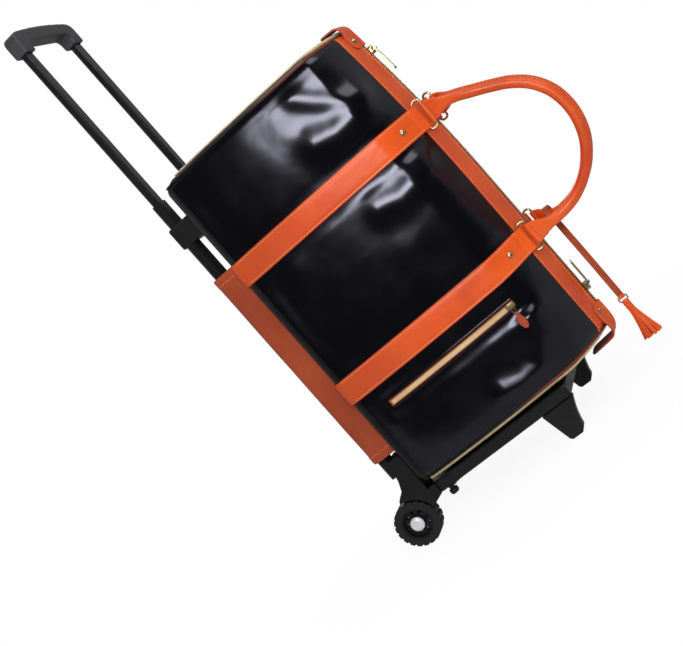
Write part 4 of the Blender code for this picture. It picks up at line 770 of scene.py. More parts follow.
# %% Teeth of the ridge zip and stitches of the bands
band_normals = outward(BAND_LINE)
ridge_out = outward(np.array([TAPE, RIDGE]))[0]
for label, side, body in (("near", -1, "near_panel"), ("far", 1, "case")):
    rows = [(z, 0, 0.0) for z in np.linspace(WHEEL_END + MM, HANDLE_END - MM, 160)]
    along = (np.array(RIDGE) - TAPE) / np.linalg.norm(np.array(RIDGE) - TAPE)
    tooth_at = np.array(RIDGE) - along * 0.0019
    teeth = row_along(label + "_ridge_teeth", [skin_line(rows, tooth_at, ridge_out, 0.0005, side)],
                      0.0024, (0.0016, 0.0032, 0.0021), gold_plate, rounded=False)
    belongs(teeth, body, "gold_metal")
    stitch_lines = []
    for share in (0.055, 0.93):
        at = np.array(SEAM) + (TAPE - SEAM) * share
        stitch_lines.append(skin_line(stations(30, 120), at, band_normals[4], 0.00095, side))
    stitches = row_along(label + "_band_stitches", stitch_lines, 0.0046,
                         (0.0034, 0.0008, 0.0007), thread_orange, wander=0.06)
    belongs(stitches, body, "orange_leather")
print("ridge rows done")

# %% [markdown]
# Each end of the bag opens on a zip that follows the near rim. Its two rows of gold teeth lie in
# a brown tape between the wall's bound edge and the end. The binding is a rolled leather piping.

# %% End zips and pipings
rim_normals = outward(RIM_LINE)


def rim_line(roll, lift, end, first, last, side=-1):
    """A line round the rim of an end at one roll angle."""
    points, normals = RIM_LINE[first:last], rim_normals[first:last]
    line = on_skin(points, normals, (end_z(end), end, radians(roll)), lift)
    c, s = cos(radians(roll)), sin(radians(roll))
    outs = [(-side * n[0] * c, n[1] * c, end * s) for n in normals]
    return to_side(line, side), outs


HINGE_AT = len(BASE_LINE) + len(CORNER_LINE) - 1
TAPE_AT = len(RIM_LINE) - 1
PIPING = 1.9 * MM


def tube_on(name, line, radius, finishes, sides=10, squash=1.0, outs=None, closed=False):
    """A tube along a line; squash flattens it along the outward directions."""
    line = np.asarray(line)
    along = np.gradient(line, axis=0)
    if closed:
        along = np.roll(line, -1, 0) - np.roll(line, 1, 0)
    along /= np.linalg.norm(along, axis=1)[:, None]
    out = np.asarray(outs if outs is not None else [(1.0, 0, 0)] * len(line), dtype=float)
    out -= along * np.sum(out * along, axis=1)[:, None]
    out /= np.linalg.norm(out, axis=1)[:, None]
    across = np.cross(along, out)
    radius = np.broadcast_to(radius, len(line))
    angles = np.arange(sides) * 2 * pi / sides
    rings = [[p + r * (squash * cos(a) * o + sin(a) * c) for a in angles]
             for p, o, c, r in zip(line, out, across, radius)]
    return rings_of(name, rings, finishes, closed=closed, angle=60)


def zip_rows(end):
    """Roll angles of the two rows at each rim point; the far part turns out of sight."""
    if end < 0:
        return [np.full(len(RIM_LINE), a) for a in (52.0, 62.0)]
    turned = 24 * ease(RIM_LINE[:, 1], -0.318, -0.285)
    return [a + turned for a in (58.0, 68.0)]


for name, end in (("wheel_end", -1), ("handle_end", 1)):
    rolls = [radians(a) for a in np.linspace(42, 84, 8)]
    split = int(np.searchsorted(-RIM_LINE[HINGE_AT:, 1], 0.298)) + HINGE_AT
    parts = [(HINGE_AT - 3, TAPE_AT, zip_tape)] if end < 0 else [
        (HINGE_AT - 3, split + 1, black_calf), (split, TAPE_AT, zip_tape)]
    sheets = []
    for first, last, finish in parts:
        points, normals = RIM_LINE[first:last], rim_normals[first:last]
        outer = [on_skin(points, normals, (end_z(end), end, roll), 0.0008) for roll in rolls]
        inner = [on_skin(points, normals, (end_z(end), end, roll), 0.0002) for roll in rolls]
        sheets.append(skin_between(name + "_tape_part", outer, inner, [finish]))
    belongs(joined(name + "_zip_tape", *sheets), "case", "gold_metal", name + "_zip")
    lines = []
    for roll_at in zip_rows(end):
        line, outs = [], []
        for i in range(HINGE_AT - 2, TAPE_AT - 1):
            p, o = rim_line(float(roll_at[i]), 0.0013, end, i, i + 1)
            line.append(p[0])
            outs.append(o[0])
        lines.append((line, outs))
    teeth = row_along(name + "_zip_teeth", lines, 0.0024, (0.0020, 0.0036, 0.0019), tooth_brass,
                      rounded=False)
    belongs(teeth, "case", "gold_metal")
    for label, side, body in (("near", -1, "near_panel"), ("far", 1, "case")):
        line, outs = rim_line(39, 0.0004, end, HINGE_AT, TAPE_AT, side)
        piping = tube_on("%s_%s_piping" % (name, label), line, PIPING, [brown_edge], outs=outs)
        belongs(piping, body, "orange_leather")
    base, base_out = rim_line(39, 0.0004, end, 0, HINGE_AT)
    both = np.vstack([(base * (-1, 1, 1))[::-1], base[1:]])
    outs = [(-o[0], o[1], o[2]) for o in base_out[::-1]] + list(base_out[1:])
    base_piping = tube_on(name + "_base_piping", both, PIPING, [brown_edge], outs=outs)
    belongs(base_piping, "case", "orange_leather")
print("end zips done")

# %% [markdown]
# A strap is a flat band of hide, 36 mm wide, glued round the bag. Its ends fold round the bar of
# a wire ring. A creasing iron leaves a fine groove just inside each edge, the thread lies in that
# groove, and the cut edges are painted darker. One sweep of a drawn cross-section makes them all.

# %% Straps
ROOF = np.array([0.045, -0.013]) / np.hypot(0.045, 0.013)
ROOF_OUT = np.array([ROOF[1], -ROOF[0]])
RING_BAR = np.array(SEAM) + ROOF * 0.003 + ROOF_OUT * 0.0054
HANDLE_AXIS = RING_BAR + np.array([sin(radians(8)), -cos(radians(8))]) * 0.011


def strap_section(half):
    """Cross-section of a creased strap: (across, up) pairs round the outline, and their marks."""
    e = half
    top = [(-e, .30), (-e + .0003, .80), (-e + .0009, .97), (-e + .0020, 1.0), (-e + .0026, .84),
           (-e + .0032, .84), (-e + .0038, 1.0), (-e * .5, 1.05), (0, 1.08)]
    top = top + [(-a, b) for a, b in top[:-1][::-1]]
    under = [(e - .0003, -.85), (e - .0009, -1.0), (-e + .0009, -1.0), (-e + .0003, -.85)]
    marks = [1, 1] + [0] * (len(top) - 5) + [1, 1] + [1, 1, 0, 1, 1]
    return top + under, marks


def strap_sweep(name, line, thick, half, z, side, finishes, settle=None):
    """A creased band whose middle follows a line in the section plane."""
    line = np.asarray(line)
    out = outward(line)
    thick = np.broadcast_to(thick, len(line))
    outline, marks = strap_section(half)
    settle = np.ones(len(line)) if settle is None else settle
    rings = [[(p[0] + o[0] * up * t / 2, p[1] + o[1] * up * t / 2 + s * dipped(p[1], z + across),
               z + across) for across, up in outline]
             for p, o, t, s in zip(line, out, thick, settle)]
    return rings_of(name, to_side(rings, side), finishes, marks=marks, angle=50)


def strap_path():
    """Middle line of a strap: up the side, over the shoulder, round the ring bar and back."""
    lift = 0.0008 + 0.0013
    side_part = even(PANEL_LINE, 100)[:-3]
    side_part = side_part + outward(side_part) * lift
    r = 0.00295
    over = [RING_BAR + r * (cos(a) * ROOF_OUT + sin(a) * ROOF)
            for a in np.linspace(-0.75, pi + 0.1, 16)]
    return smooth_line(np.vstack([side_part, over]), 190)


STRAP_PATH = strap_path()
run = np.concatenate([[0], np.cumsum(np.linalg.norm(np.diff(STRAP_PATH, axis=0), axis=1))])
STRAP_THICK = 0.0026 - 0.0006 * ease(run, run[-1] - 0.022, run[-1] - 0.013)
flat_part = run < run[-1] - 0.021
ON_BAG = 1 - ease(run, run[-1] - 0.045, run[-1] - 0.012)
for label, side, body in (("near", -1, "near_panel"), ("far", 1, "case")):
    for level, z in STRAP_Z.items():
        strap = strap_sweep("%s_%s_strap_leather" % (label, level), STRAP_PATH, STRAP_THICK,
                            0.018, z, side, [strap_leather, edge_paint], ON_BAG)
        belongs(strap, body, "orange_leather", "%s_strap_%s" % (label, level))
        top = STRAP_PATH + outward(STRAP_PATH) * 0.00122
        outs = [(-side * o[0], o[1], 0) for o in outward(STRAP_PATH)[flat_part]]
        lines = [(to_side([(x, y + s * dipped(y, z + w), z + w)
                           for (x, y), s in zip(top[flat_part], ON_BAG[flat_part])], side), outs)
                 for w in (-0.0151, 0.0151)]
        stitches = row_along("%s_%s_strap_stitches" % (label, level), lines, 0.0048,
                             (0.0036, 0.0011, 0.0007), thread_orange, wander=0.05)
        belongs(stitches, body, "orange_leather")
        corner = CORNER_LINE[1:]
        root_line = np.vstack([corner[:1] + (0.003, 0.0), corner])
        root_line = root_line + outward(root_line) * 0.0021
        root_line = smooth_line(root_line, 24)
        root = strap_sweep("%s_%s_strap_root" % (label, level), root_line, 0.0025, 0.0178, z, side,
                           [strap_leather, edge_paint])
        belongs(root, "case", "orange_leather")
print("straps done, path", round(float(run[-1]), 3), "m")


# %% [markdown]
# Rivets and snaps are turned parts: a domed cap over a low flange. A profile spun round an axis
# makes them.

# %% Rivets and snaps
def spun(name, profile, foot, axis, finish, sides=28):
    """A turned part: profile of (radius, height) pairs round an axis."""
    axis = Vector(axis).normalized()
    a = axis.orthogonal().normalized()
    b = axis.cross(a)
    foot = Vector(foot)
    rings = [[tuple(foot + axis * h + (a * cos(t) + b * sin(t)) * r)
              for t in np.arange(sides) * 2 * pi / sides] for r, h in profile]
    return rings_of(name, rings, [finish], angle=50)


CAP = [(0.0001, 0.0), (0.0046, 0.0), (0.0047, 0.0006), (0.0041, 0.0009), (0.0037, 0.0012),
       (0.0033, 0.0019), (0.0022, 0.0025), (0.0010, 0.0027), (0.0001, 0.00275)]
for label, side, body in (("near", -1, "near_panel"), ("far", 1, "case")):
    for level, z in STRAP_Z.items():
        at, out = SHOULDER_LINE[19], outward(SHOULDER_LINE)[19]
        at = at + out * 0.0034 + (0, dipped(at[1], z))
        rivet = spun("%s_%s_strap_rivet" % (label, level), CAP,
                     to_side((*at, z), side), (-side * out[0], out[1], 0), gold_plate)
        belongs(rivet, body, "gold_metal")
print("rivets done")

# %% [markdown]
# The rings are bent brass wire, 3.2 mm thick, closed into a rectangle with round corners.

# %% Rings
def rounded_loop(half_u, half_v, radius, steps=8):
    """A closed rectangle with round corners, as evenly spaced (u, v) points."""
    points = []
    for k, (u, v) in enumerate(((1, 1), (-1, 1), (-1, -1), (1, -1))):
        for t in np.linspace(0, pi / 2, steps):
            a = t + k * pi / 2
            points.append((u * (half_u - radius) + radius * cos(a),
                           v * (half_v - radius) + radius * sin(a)))
    return even(points + points[:1], 72)[:-1]


ring_unit = (HANDLE_AXIS - RING_BAR) / np.linalg.norm(HANDLE_AXIS - RING_BAR)
ring_across = np.array([-ring_unit[1], ring_unit[0]])
for label, side, body in (("near", -1, "near_panel"), ("far", 1, "case")):
    for level, z in STRAP_Z.items():
        middle = (HANDLE_AXIS + RING_BAR) / 2
        loop = [(*(middle + ring_unit * u), z + v)
                for u, v in rounded_loop(0.0055, 0.0215, 0.004)]
        ring = tube_on("%s_%s_ring_wire" % (label, level), to_side(loop, side), 0.0016,
                       [gold_plate], sides=12, closed=True,
                       outs=[(ring_across[0] * -side, ring_across[1], 0)] * len(loop))
        belongs(ring, body, "gold_metal", "%s_ring_%s" % (label, level))
print("rings done")

# %% [markdown]
# The carry handles are rope cores rolled in hide and sewn shut along the inside, where a raised
# seam shows. At each end the hide is left flat and wide, and folds round the ring. The section
# changes from a flat tab to a round bar along one path, so one loft makes the whole handle.

# %% Carry handles
HANDLE_X, HANDLE_REACH = -11.5 * MM, 134 * MM
HANDLE_SPAN = STRAP_Z["upper"] - STRAP_Z["lower"]
# The loop's shape as shares of its reach and span, then (run, half width, half thickness).
HANDLE_LOOP = [(0.21, -0.03), (0.38, -0.082), (0.56, -0.14), (0.73, -0.205), (0.87, -0.29),
               (0.965, -0.40), (1.0, -0.52), (0.985, -0.64), (0.92, -0.76), (0.80, -0.868),
               (0.66, -0.945), (0.50, -0.998), (0.36, -1.02), (0.21, -1.025)]
TAB_SHAPE = [(0.0, .0147, .0026), (.005, .0148, .0028), (.0126, .0128, .0036), (.021, .0098, .0048),
             (.0306, .0080, .0063), (.040, .0074, .0071), (.048, .0072, .0072)]


def handle_path():
    """The roll's middle line, from the upper ring out and round to the lower ring."""
    path = [(HANDLE_AXIS[0], HANDLE_AXIS[1], STRAP_Z["upper"])]
    for u, v in HANDLE_LOOP:
        x = HANDLE_X + (HANDLE_AXIS[0] - HANDLE_X) * max(0.0, 0.42 - u) / 0.42 * 0.6
        path.append((x, HANDLE_AXIS[1] - HANDLE_REACH * u, STRAP_Z["upper"] + HANDLE_SPAN * v))
    path.append((HANDLE_AXIS[0], HANDLE_AXIS[1], STRAP_Z["lower"]))
    return smooth_line(path, 230)


PATH = handle_path()
path_run = np.concatenate([[0], np.cumsum(np.linalg.norm(np.diff(PATH, axis=0), axis=1))])


def carry_handle(label, side):
    """Round rolled grip with flat tabs, an inner seam and a folded eye at each end."""
    from_end = np.minimum(path_run, path_run[-1] - path_run)
    table = np.array(TAB_SHAPE)
    wide = np.interp(from_end, table[:, 0], table[:, 1])
    thick = np.interp(from_end, table[:, 0], table[:, 2])
    along = np.gradient(PATH, axis=0)
    along /= np.linalg.norm(along, axis=1)[:, None]
    rings = []
    for p, t, w, h, d in zip(PATH, along, wide, thick, from_end):
        across = np.array([1.0, 0, 0]) - t * t[0]
        across /= np.linalg.norm(across)
        flat = np.cross(across, t)
        ring = []
        power = 1.0 - 0.45 * (1 - ease(d, 0.006, 0.03))
        for a in np.arange(28) * 2 * pi / 28:
            c, s = cos(a), sin(a)
            u = abs(c) ** power * (1 if c > 0 else -1)
            v = abs(s) ** power * (1 if s > 0 else -1)
            seam = 1.0 + 0.09 * np.exp(-((a - 3 * pi / 2) / 0.2) ** 2) * ease(d, 0.03, 0.06)
            ring.append(p + across * h * u + flat * w * v * seam)
        rings.append(ring)
    body = rings_of(label + "_handle_roll", to_side(rings, side), [handle_leather], angle=70)
    pieces = [body]
    for level in STRAP_Z.values():
        turned = []
        for z, grow in ((-.0149, .0), (-.0147, .0004), (.0147, .0004), (.0149, .0)):
            turned.append([(HANDLE_AXIS[0] + (0.0037 + grow) * cos(a),
                            HANDLE_AXIS[1] + (0.0037 + grow) * sin(a), level + z)
                           for a in np.arange(24) * 2 * pi / 24])
        pieces.append(rings_of(label + "_eye", to_side(turned, side), [handle_leather], angle=60))
    return joined(label + "_handle_leather", *pieces)


def handle_stitches(label, side):
    """The seam on the inner side of the roll."""
    keep = (path_run > 0.055) & (path_run < path_run[-1] - 0.055)
    along = np.gradient(PATH, axis=0)
    along /= np.linalg.norm(along, axis=1)[:, None]
    inward = np.cross(np.array([1.0, 0, 0]), along)
    inward /= np.linalg.norm(inward, axis=1)[:, None]
    line = PATH - inward * 0.0076
    return row_along(label + "_handle_stitches", [(to_side(line[keep], side),
                                                   [tuple(-v) for v in inward[keep]])],
                     0.0052, (0.0036, 0.0009, 0.0008), thread_orange, wander=0.08)


for label, side in (("near", -1), ("far", 1)):
    belongs(carry_handle(label, side), label + "_handle", "orange_leather",
            label + "_carry_handle")
    belongs(handle_stitches(label, side), label + "_handle", "orange_leather")
print("handles done, roll", round(float(path_run[-1]), 3), "m long")

# %% [markdown]
# A rounded tab of hide wraps each end of the ridge and buttons down on a snap. It follows the
# ridge, rides over the zip, and turns round the end of the bag. Its outline has round corners.

# %% End tabs
TAB_X, TAB_FAR = -0.027, 0.013


def ridge_y(z):
    """Where the ridge runs at this height."""
    return RIDGE[1] + float(ridge_dip(z))


def fall_at(z):
    """The band's slope across the ridge at this height."""
    slope = (RIDGE[1] - SEAM[1]) / SEAM[0]
    return slope * (1 - float(ridge_dip(z)) / (SHOULDER[1] - RIDGE[1]))


def end_tab(name, end, flare):
    """A tab over one end of the ridge, its stitches and its snap."""
    corner = end_z(end) + end * END_ROUND
    heights = [corner - end * r for r in (0.034, 0.024, 0.012)]
    line = [(ridge_y(z), z) for z in heights]
    y0 = line[-1][0]
    curve = bend(line[-1], (y0, corner + end * flare * 0.75),
                 (y0 + 0.016, corner + end * flare * 0.8), 5)
    line += [tuple(p) for p in curve[1:]]
    hang = 0.030 if end < 0 else 0.016
    line += [(line[-1][0] + hang * s, corner + end * flare * (0.8 + 0.2 * s)) for s in (0.7, 1.0)]
    count = 64
    raw = smooth_line(line, 400)
    knots = [int(np.argmin(np.linalg.norm(raw - p, axis=1))) for p in np.array(line)]
    place = np.interp(np.linspace(0, 399, count), knots, range(len(line)))
    path = raw[np.linspace(0, 399, count).astype(int)]
    length = np.concatenate([[0], np.cumsum(np.linalg.norm(np.diff(path, axis=0), axis=1))])
    along = np.gradient(path, axis=0)
    along /= np.linalg.norm(along, axis=1)[:, None]
    out = np.stack([-along[:, 1], along[:, 0]], 1) * end
    grids = ([], [])
    for i in range(count):
        y, z = path[i]
        hug = min(1.0, max(0.0, 1 - 0.35 * (place[i] - 2)))
        edge = min(length[i], length[-1] - length[i])
        draw_in = 0.009 * (1 - sqrt(max(0.0, 1 - (1 - min(1.0, edge / 0.009)) ** 2)))
        xs = np.linspace(TAB_X + draw_in, TAB_FAR - draw_in, 34)
        rise = 0.0019 + hug * (0.0008 - fall_at(z) * np.abs(xs) - 0.0019)
        rise = np.where(np.abs(xs) < 0.0036, 0.0019, rise)
        rise = np.convolve(np.pad(rise, 2, mode="edge"), np.ones(5) / 5, mode="valid")
        rim = np.minimum(xs - xs[0], xs[-1] - xs)
        rim = np.minimum(rim, edge)
        puff = 0.0024 * (0.72 + 0.28 * ease(rim, 0.0, 0.0012)) - 0.0003 * np.exp(
            -((rim - 0.0032) / 0.0006) ** 2)
        for grid, lift in zip(grids, (rise + puff, rise)):
            grid.append([(x, y + out[i, 0] * r, z + out[i, 1] * r) for x, r in zip(xs, lift)])
    # Its back is the darker orange copy with painted shade.
    tab = skin_between(name, grids[0], grids[1], [handle_leather, painted_shade_leather, edge_paint])
    grid = np.array(grids[0])
    inner = [grid[i, 3] for i in range(4, count - 4)]
    outer = [grid[i, -4] for i in range(4, count - 4)]
    outs = [(0, out[i, 0], out[i, 1]) for i in range(4, count - 4)]
    stitches = row_along(name + "_stitches", [(inner, outs), (outer, outs)], 0.0044,
                         (0.0032, 0.0008, 0.0006), thread_orange, wander=0.06)
    snap_z = corner - end * 0.023
    lift = 0.0008 - fall_at(snap_z) * 0.016 + 0.0024
    snap = spun(name + "_snap", [(r * 0.92, h) for r, h in CAP],
                (-0.016, ridge_y(snap_z) - lift, snap_z), (-0.28, -1, 0), gold_plate)
    return tab, stitches, snap


for name, end, flare in (("wheel_end_tab", -1, 0.014), ("handle_end_tab", 1, 0.004)):
    tab, stitches, snap = end_tab(name + "_leather", end, flare)
    belongs(tab, name, "orange_leather", name)
    belongs(stitches, name, "orange_leather")
    belongs(snap, name, "gold_metal")
print("tabs done")

# %% [markdown]
# The pocket's mouth is a closed zip with a thin orange piping on each side, sewn into a flat
# frame of the wall's own black leather.

# %% Pocket
def pocket_strip(name, low, high, inner, outer, finish, crown=0.0):
    """A curved strip along the pocket between two heights and two lifts."""
    grids = ([], [])
    for y in np.linspace(-0.0925, -0.2965, 70):
        p, n = side_at(y)
        for grid, lift, puff in zip(grids, (outer, inner), (crown, 0.0)):
            grid.append([(*(p + n * (lift + puff * np.sin(pi * w))),
                          POCKET_Z + low + (high - low) * w) for w in np.linspace(0, 1, 9)])
    return skin_between(name, grids[0], grids[1], [finish])


def side_run(y_from, y_to, count, lift, rise):
    """A line along the pocket at one lift and one height, with its outward directions."""
    line, outs = [], []
    for y in np.linspace(y_from, y_to, count):
        p, n = side_at(y)
        line.append((*(p + n * lift), POCKET_Z + rise))
        outs.append((*n, 0))
    return line, outs


pocket_parts = [pocket_strip("frame_low", -0.008, -0.0036, 0.0006, 0.0013, black_calf, 0.0003),
                pocket_strip("frame_high", 0.0036, 0.008, 0.0006, 0.0013, black_calf, 0.0003),
                pocket_strip("floor", -0.0040, 0.0040, 0.0006, 0.0011, zip_tape)]
for rise in (-0.0038, 0.0038):
    line, outs = side_run(-0.0925, -0.2955, 70, 0.0014, rise)
    pocket_parts.append(tube_on("piping", line, 0.0009, [edge_paint], outs=outs))
for y in (-0.0915, -0.2965):
    p, n = side_at(y)
    line = [(*(p + n * 0.0015), POCKET_Z + w) for w in np.linspace(-0.0046, 0.0046, 12)]
    pocket_parts.append(tube_on("bar", line, 0.0011, [edge_paint], outs=[(*n, 0)] * 12))
belongs(joined("pocket_frame", *pocket_parts), "near_panel", "orange_leather", "pocket_welt")
tooth_lines = [side_run(-0.0945, -0.2945, 120, 0.0019, rise) for rise in (-0.00135, 0.00135)]
belongs(row_along("pocket_zip_teeth", tooth_lines, 0.0024, (0.0020, 0.0030, 0.0014), tooth_brass,
                  rounded=False), "near_panel", "gold_metal", "pocket_zip")
frame_lines = [side_run(-0.095, -0.294, 100, 0.0015, rise) for rise in (-0.0068, 0.0068)]
belongs(row_along("pocket_stitches", frame_lines, 0.0044, (0.0032, 0.0008, 0.0006), thread_black),
        "near_panel", "black_leather")
print("pocket frame", len(pocket_parts), "parts")

# %% [markdown]
# The pocket's pull is a drop of hide on a brass link. It is cut flat, so its outline is a drawn
# curve, and its face is slightly domed.

# %% Pocket pull
at, out = side_at(-0.291)
pull_out = np.array([out[0], out[1], 0])
pull_side = np.array([out[1], -out[0], 0])
PIN_LIFT = 9.6 * MM           # the slider's height above the wall, and the link's own wire
pin = np.array([*(at + out * PIN_LIFT), POCKET_Z])
PULL_LONG = 34 * MM
# The drop's outline: share of its length, and half its width.
PULL = [(0.16, .0010), (0.30, .0011), (0.36, .0019), (0.44, .0034), (0.56, .0049), (0.70, .0054),
        (0.83, .0049), (0.93, .0035), (0.985, .0018), (1.0, .0004)]
table = np.array(PULL)
shares = np.linspace(0.25, 1.0, 40)
rings = []
for share in shares:
    half = np.interp(share, table[:, 0], table[:, 1])
    middle = pin + np.array([0, 0, -PULL_LONG * share])
    ring = []
    for a in np.arange(20) * 2 * pi / 20:
        c, s = cos(a), sin(a)
        ring.append(middle + pull_side * half * abs(c) ** 0.8 * np.sign(c)
                    + pull_out * 0.0009 * abs(s) ** 0.6 * np.sign(s))
    rings.append(ring)
# The drop is the darker orange copy with painted shade.
drop = rings_of("drop", rings, [painted_shade_leather], angle=60)
link = [pin + np.array([0, 0, -0.0052]) + pull_side * u + np.array([0, 0, -v])
        for u, v in rounded_loop(0.0019, 0.0062, 0.0018)]
wire = tube_on("link", link, 0.0006, [gold_plate], closed=True, outs=[tuple(pull_out)] * len(link))
belongs(joined("pocket_pull_drop", drop, wire), "pocket_pull", "orange_leather", "pocket_pull")
print("pocket done")

# %% [markdown]
# The tassel hangs from a narrow strap that loops round the far handle. It is a strip of hide cut
# into a fringe, rolled up and bound by a cap. Each strip of the fringe is its own thin, slightly
# curled ribbon, with a seeded spread so that the same tassel is made every time.

# %% Tassel
TASSEL = np.array([0.0270, -0.3810])
hang_line = [(TASSEL[0] + 0.0015 * sin(pi * s), 0.2143 - (0.2143 - 0.084) * s)
             for s in np.linspace(0, 1, 40)]


def flat_strap(name, line, width, thick, finishes, y=TASSEL[1], closed=False):
    """A narrow strap in the XZ plane, with rounded edges."""
    line = np.asarray(line)
    along = np.gradient(line, axis=0)
    if closed:
        along = np.roll(line, -1, 0) - np.roll(line, 1, 0)
    along /= np.linalg.norm(along, axis=1)[:, None]
    out = np.stack([along[:, 1], -along[:, 0]], 1)
    w, t = width / 2, thick / 2
    outline = [(-w, .3), (-w + .0005, 1), (-w + .0014, .8), (0, 1.05), (w - .0014, .8),
               (w - .0005, 1), (w, .3), (w, -.4), (w - .0005, -1), (-w + .0005, -1), (-w, -.4)]
    rings = [[(p[0] + o[0] * up * t, y + across, p[1] + o[1] * up * t) for across, up in outline]
             for p, o in zip(line, out)]
    marks = [1, 0, 0, 0, 0, 1, 1, 1, 0, 1, 1]
    return rings_of(name, rings, finishes, marks=marks, closed=closed, angle=60)


loop_line = [(TASSEL[0] + 0.0127 * cos(a), 0.2270 + 0.0127 * sin(a))
             for a in np.arange(56) * 2 * pi / 56]
low_loop = [(TASSEL[0] + 0.0023 * cos(a), 0.0825 + 0.0023 * sin(a))
            for a in np.arange(20) * 2 * pi / 20]
# The hanger and its eye are the darker orange copy with painted shade.
strap_pieces = [flat_strap("hanger", hang_line, 0.009, 0.0022, [painted_shade_leather, edge_paint]),
                flat_strap("eye", loop_line, 0.009, 0.0022, [painted_shade_leather, edge_paint],
                           closed=True),
                flat_strap("low_eye", low_loop, 0.0088, 0.0014, [handle_leather, edge_paint],
                           closed=True)]
belongs(joined("tassel_hanger", *strap_pieces), "tassel_strap", "orange_leather", "tassel_strap")


def tassel():
    rng = random.Random(11)
    top = 0.0825
    clip_line = [(TASSEL[0], TASSEL[1] + u, top - 0.0036 + v)
                 for u, v in rounded_loop(0.0062, 0.0034, 0.0016)]
    pieces = [tube_on("clip", clip_line, 0.0010, [gold_plate], closed=True, sides=10)]
    base = top - 0.007
    cap = [(0.0006, 0.0015), (0.0034, 0.0014), (0.0046, 0.0002), (0.0050, -0.002), (0.0050, -0.0095),
           (0.0053, -0.0105), (0.0053, -0.0125), (0.0048, -0.0130), (0.0040, -0.0132)]
    rings = [[(TASSEL[0] + 0.62 * r * cos(a), TASSEL[1] + r * sin(a), base + h)
              for a in np.arange(24) * 2 * pi / 24] for r, h in cap]
    pieces.append(rings_of("cap", rings, [handle_leather], angle=50))
    for ring in range(3):
        count = (17, 12, 7)[ring]
        for k in range(count):
            a = 2 * pi * k / count + ring * 0.4 + rng.uniform(-0.10, 0.10)
            far = (0.0135, 0.0095, 0.0050)[ring] * rng.uniform(0.92, 1.04)
            length = 0.049 * rng.uniform(0.95, 1.0)
            curl = rng.uniform(-0.5, 0.5)
            strip = []
            for s in np.linspace(0, 1, 12):
                r = 0.0038 - ring * 0.001 + (far - 0.0038) * s ** 1.35
                turn_by = a + curl * s * s * 0.3
                centre = np.array([TASSEL[0] + 0.5 * r * cos(turn_by), TASSEL[1] + r * sin(turn_by),
                                   base - 0.0115 - length * s])
                t = np.array([-0.6 * sin(turn_by + curl * s), cos(turn_by + curl * s), 0])
                t /= np.linalg.norm(t)
                n = np.array([t[1], -t[0], 0])
                w, h = 0.0013 + 0.0009 * s, 0.0005
                strip.append([centre + t * w + n * h, centre + t * w - n * h,
                              centre - t * w - n * h, centre - t * w + n * h])
            pieces.append(rings_of("strip", strip, [handle_leather], angle=30))
    return joined("tassel_fringe", *pieces)


belongs(tassel(), "tassel", "orange_leather", "tassel")
print("tassel done")

# %% [markdown]
# A sleeve of the same hide hides the trolley's tubes. It is wrapped over them and sewn to the
# base at both sides, so its back sags a little between the tubes and its ends are hemmed.

# %% Tube sleeve
def sleeve():
    low, high, half, back, front, r = 0.129, 0.455, 0.104, -0.0017, -0.0447, 0.017
    arc = bend((-half, back - r), (-half + 0.002, back - 0.002), (-half + r, back), 16)
    wall_line = np.linspace((-half, front), (-half, back - r), 14)[:-1]
    flat = np.linspace((-half + r, back), (0, back), 30)[1:]
    left = np.vstack([wall_line, arc, flat])
    line = np.vstack([left, (left * (-1, 1))[::-1][1:]])
    along = np.gradient(line, axis=0)
    along /= np.linalg.norm(along, axis=1)[:, None]
    out = np.stack([-along[:, 1], along[:, 0]], 1)
    grids = ([], [])
    for z in np.linspace(low, high, 90):
        hem = min(z - low, high - z)
        lift = 0.0005 * (1 - ease(hem, 0.0115, 0.0125)) - 0.0004 * (1 - ease(hem, 0.0, 0.0008))
        sag = -0.0022 * np.exp(-(line[:, 0] / 0.038) ** 2) * ease(hem, 0.0, 0.05)
        ripple = np.array([noise.noise(Vector((x * 30, y * 30, z * 22))) for x, y in line]) * 0.0004
        up = lift + (sag + ripple) * (line[:, 1] > back - 0.001) + ripple * ease(hem, 0, 0.02)
        for grid, height in zip(grids, (up, up * 0 - 0.0024 + np.minimum(sag, 0))):
            grid.append([(p[0] + o[0] * h, p[1] + o[1] * h, z)
                         for p, o, h in zip(line, out, height)])
    # The sleeve is the darker orange copy with painted shade.
    piece = skin_between("tube_sleeve_leather", grids[0], grids[1],
                         [painted_shade_leather, lining, edge_paint])
    grid = np.array(grids[0])
    lines = []
    for row in (3, 86):
        lines.append((grid[row] + np.column_stack([out * 0.0002, np.zeros(len(out))]),
                      [(o[0], o[1], 0) for o in out]))
    rows = row_along("sleeve_stitches", lines, 0.0046, (0.0034, 0.0008, 0.0006), thread_orange,
                     wander=0.06)
    return piece, rows


sleeve_piece, sleeve_rows = sleeve()
belongs(sleeve_piece, "case", "orange_leather", "tube_cover")
belongs(sleeve_rows, "case", "orange_leather")
print("sleeve done")

# %% [markdown]
# The grip is an overmoulded piece, so its corners are far rounder than a chamfer can show. A
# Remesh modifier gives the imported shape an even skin, and a Smooth modifier rolls its corners.

# %% A softer grip
def button_well():
    """A block that keeps the button's way free through its whole travel."""
    low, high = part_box("release_button")
    low, high = np.array(low) - (0.0005, 0.0005, 0.0045), np.array(high) + (0.0005, 0.0005, 0.004)
    mesh = bpy.data.meshes.new("button_well")
    bm = bmesh.new()
    bmesh.ops.create_cube(bm, size=1.0)
    bmesh.ops.scale(bm, vec=Vector(high - low), verts=bm.verts)
    bmesh.ops.translate(bm, vec=Vector((high + low) / 2), verts=bm.verts)
    bm.to_mesh(mesh)
    bm.free()
    well = bpy.data.objects.new("button_well", mesh)
    bpy.context.scene.collection.objects.link(well)
    return well


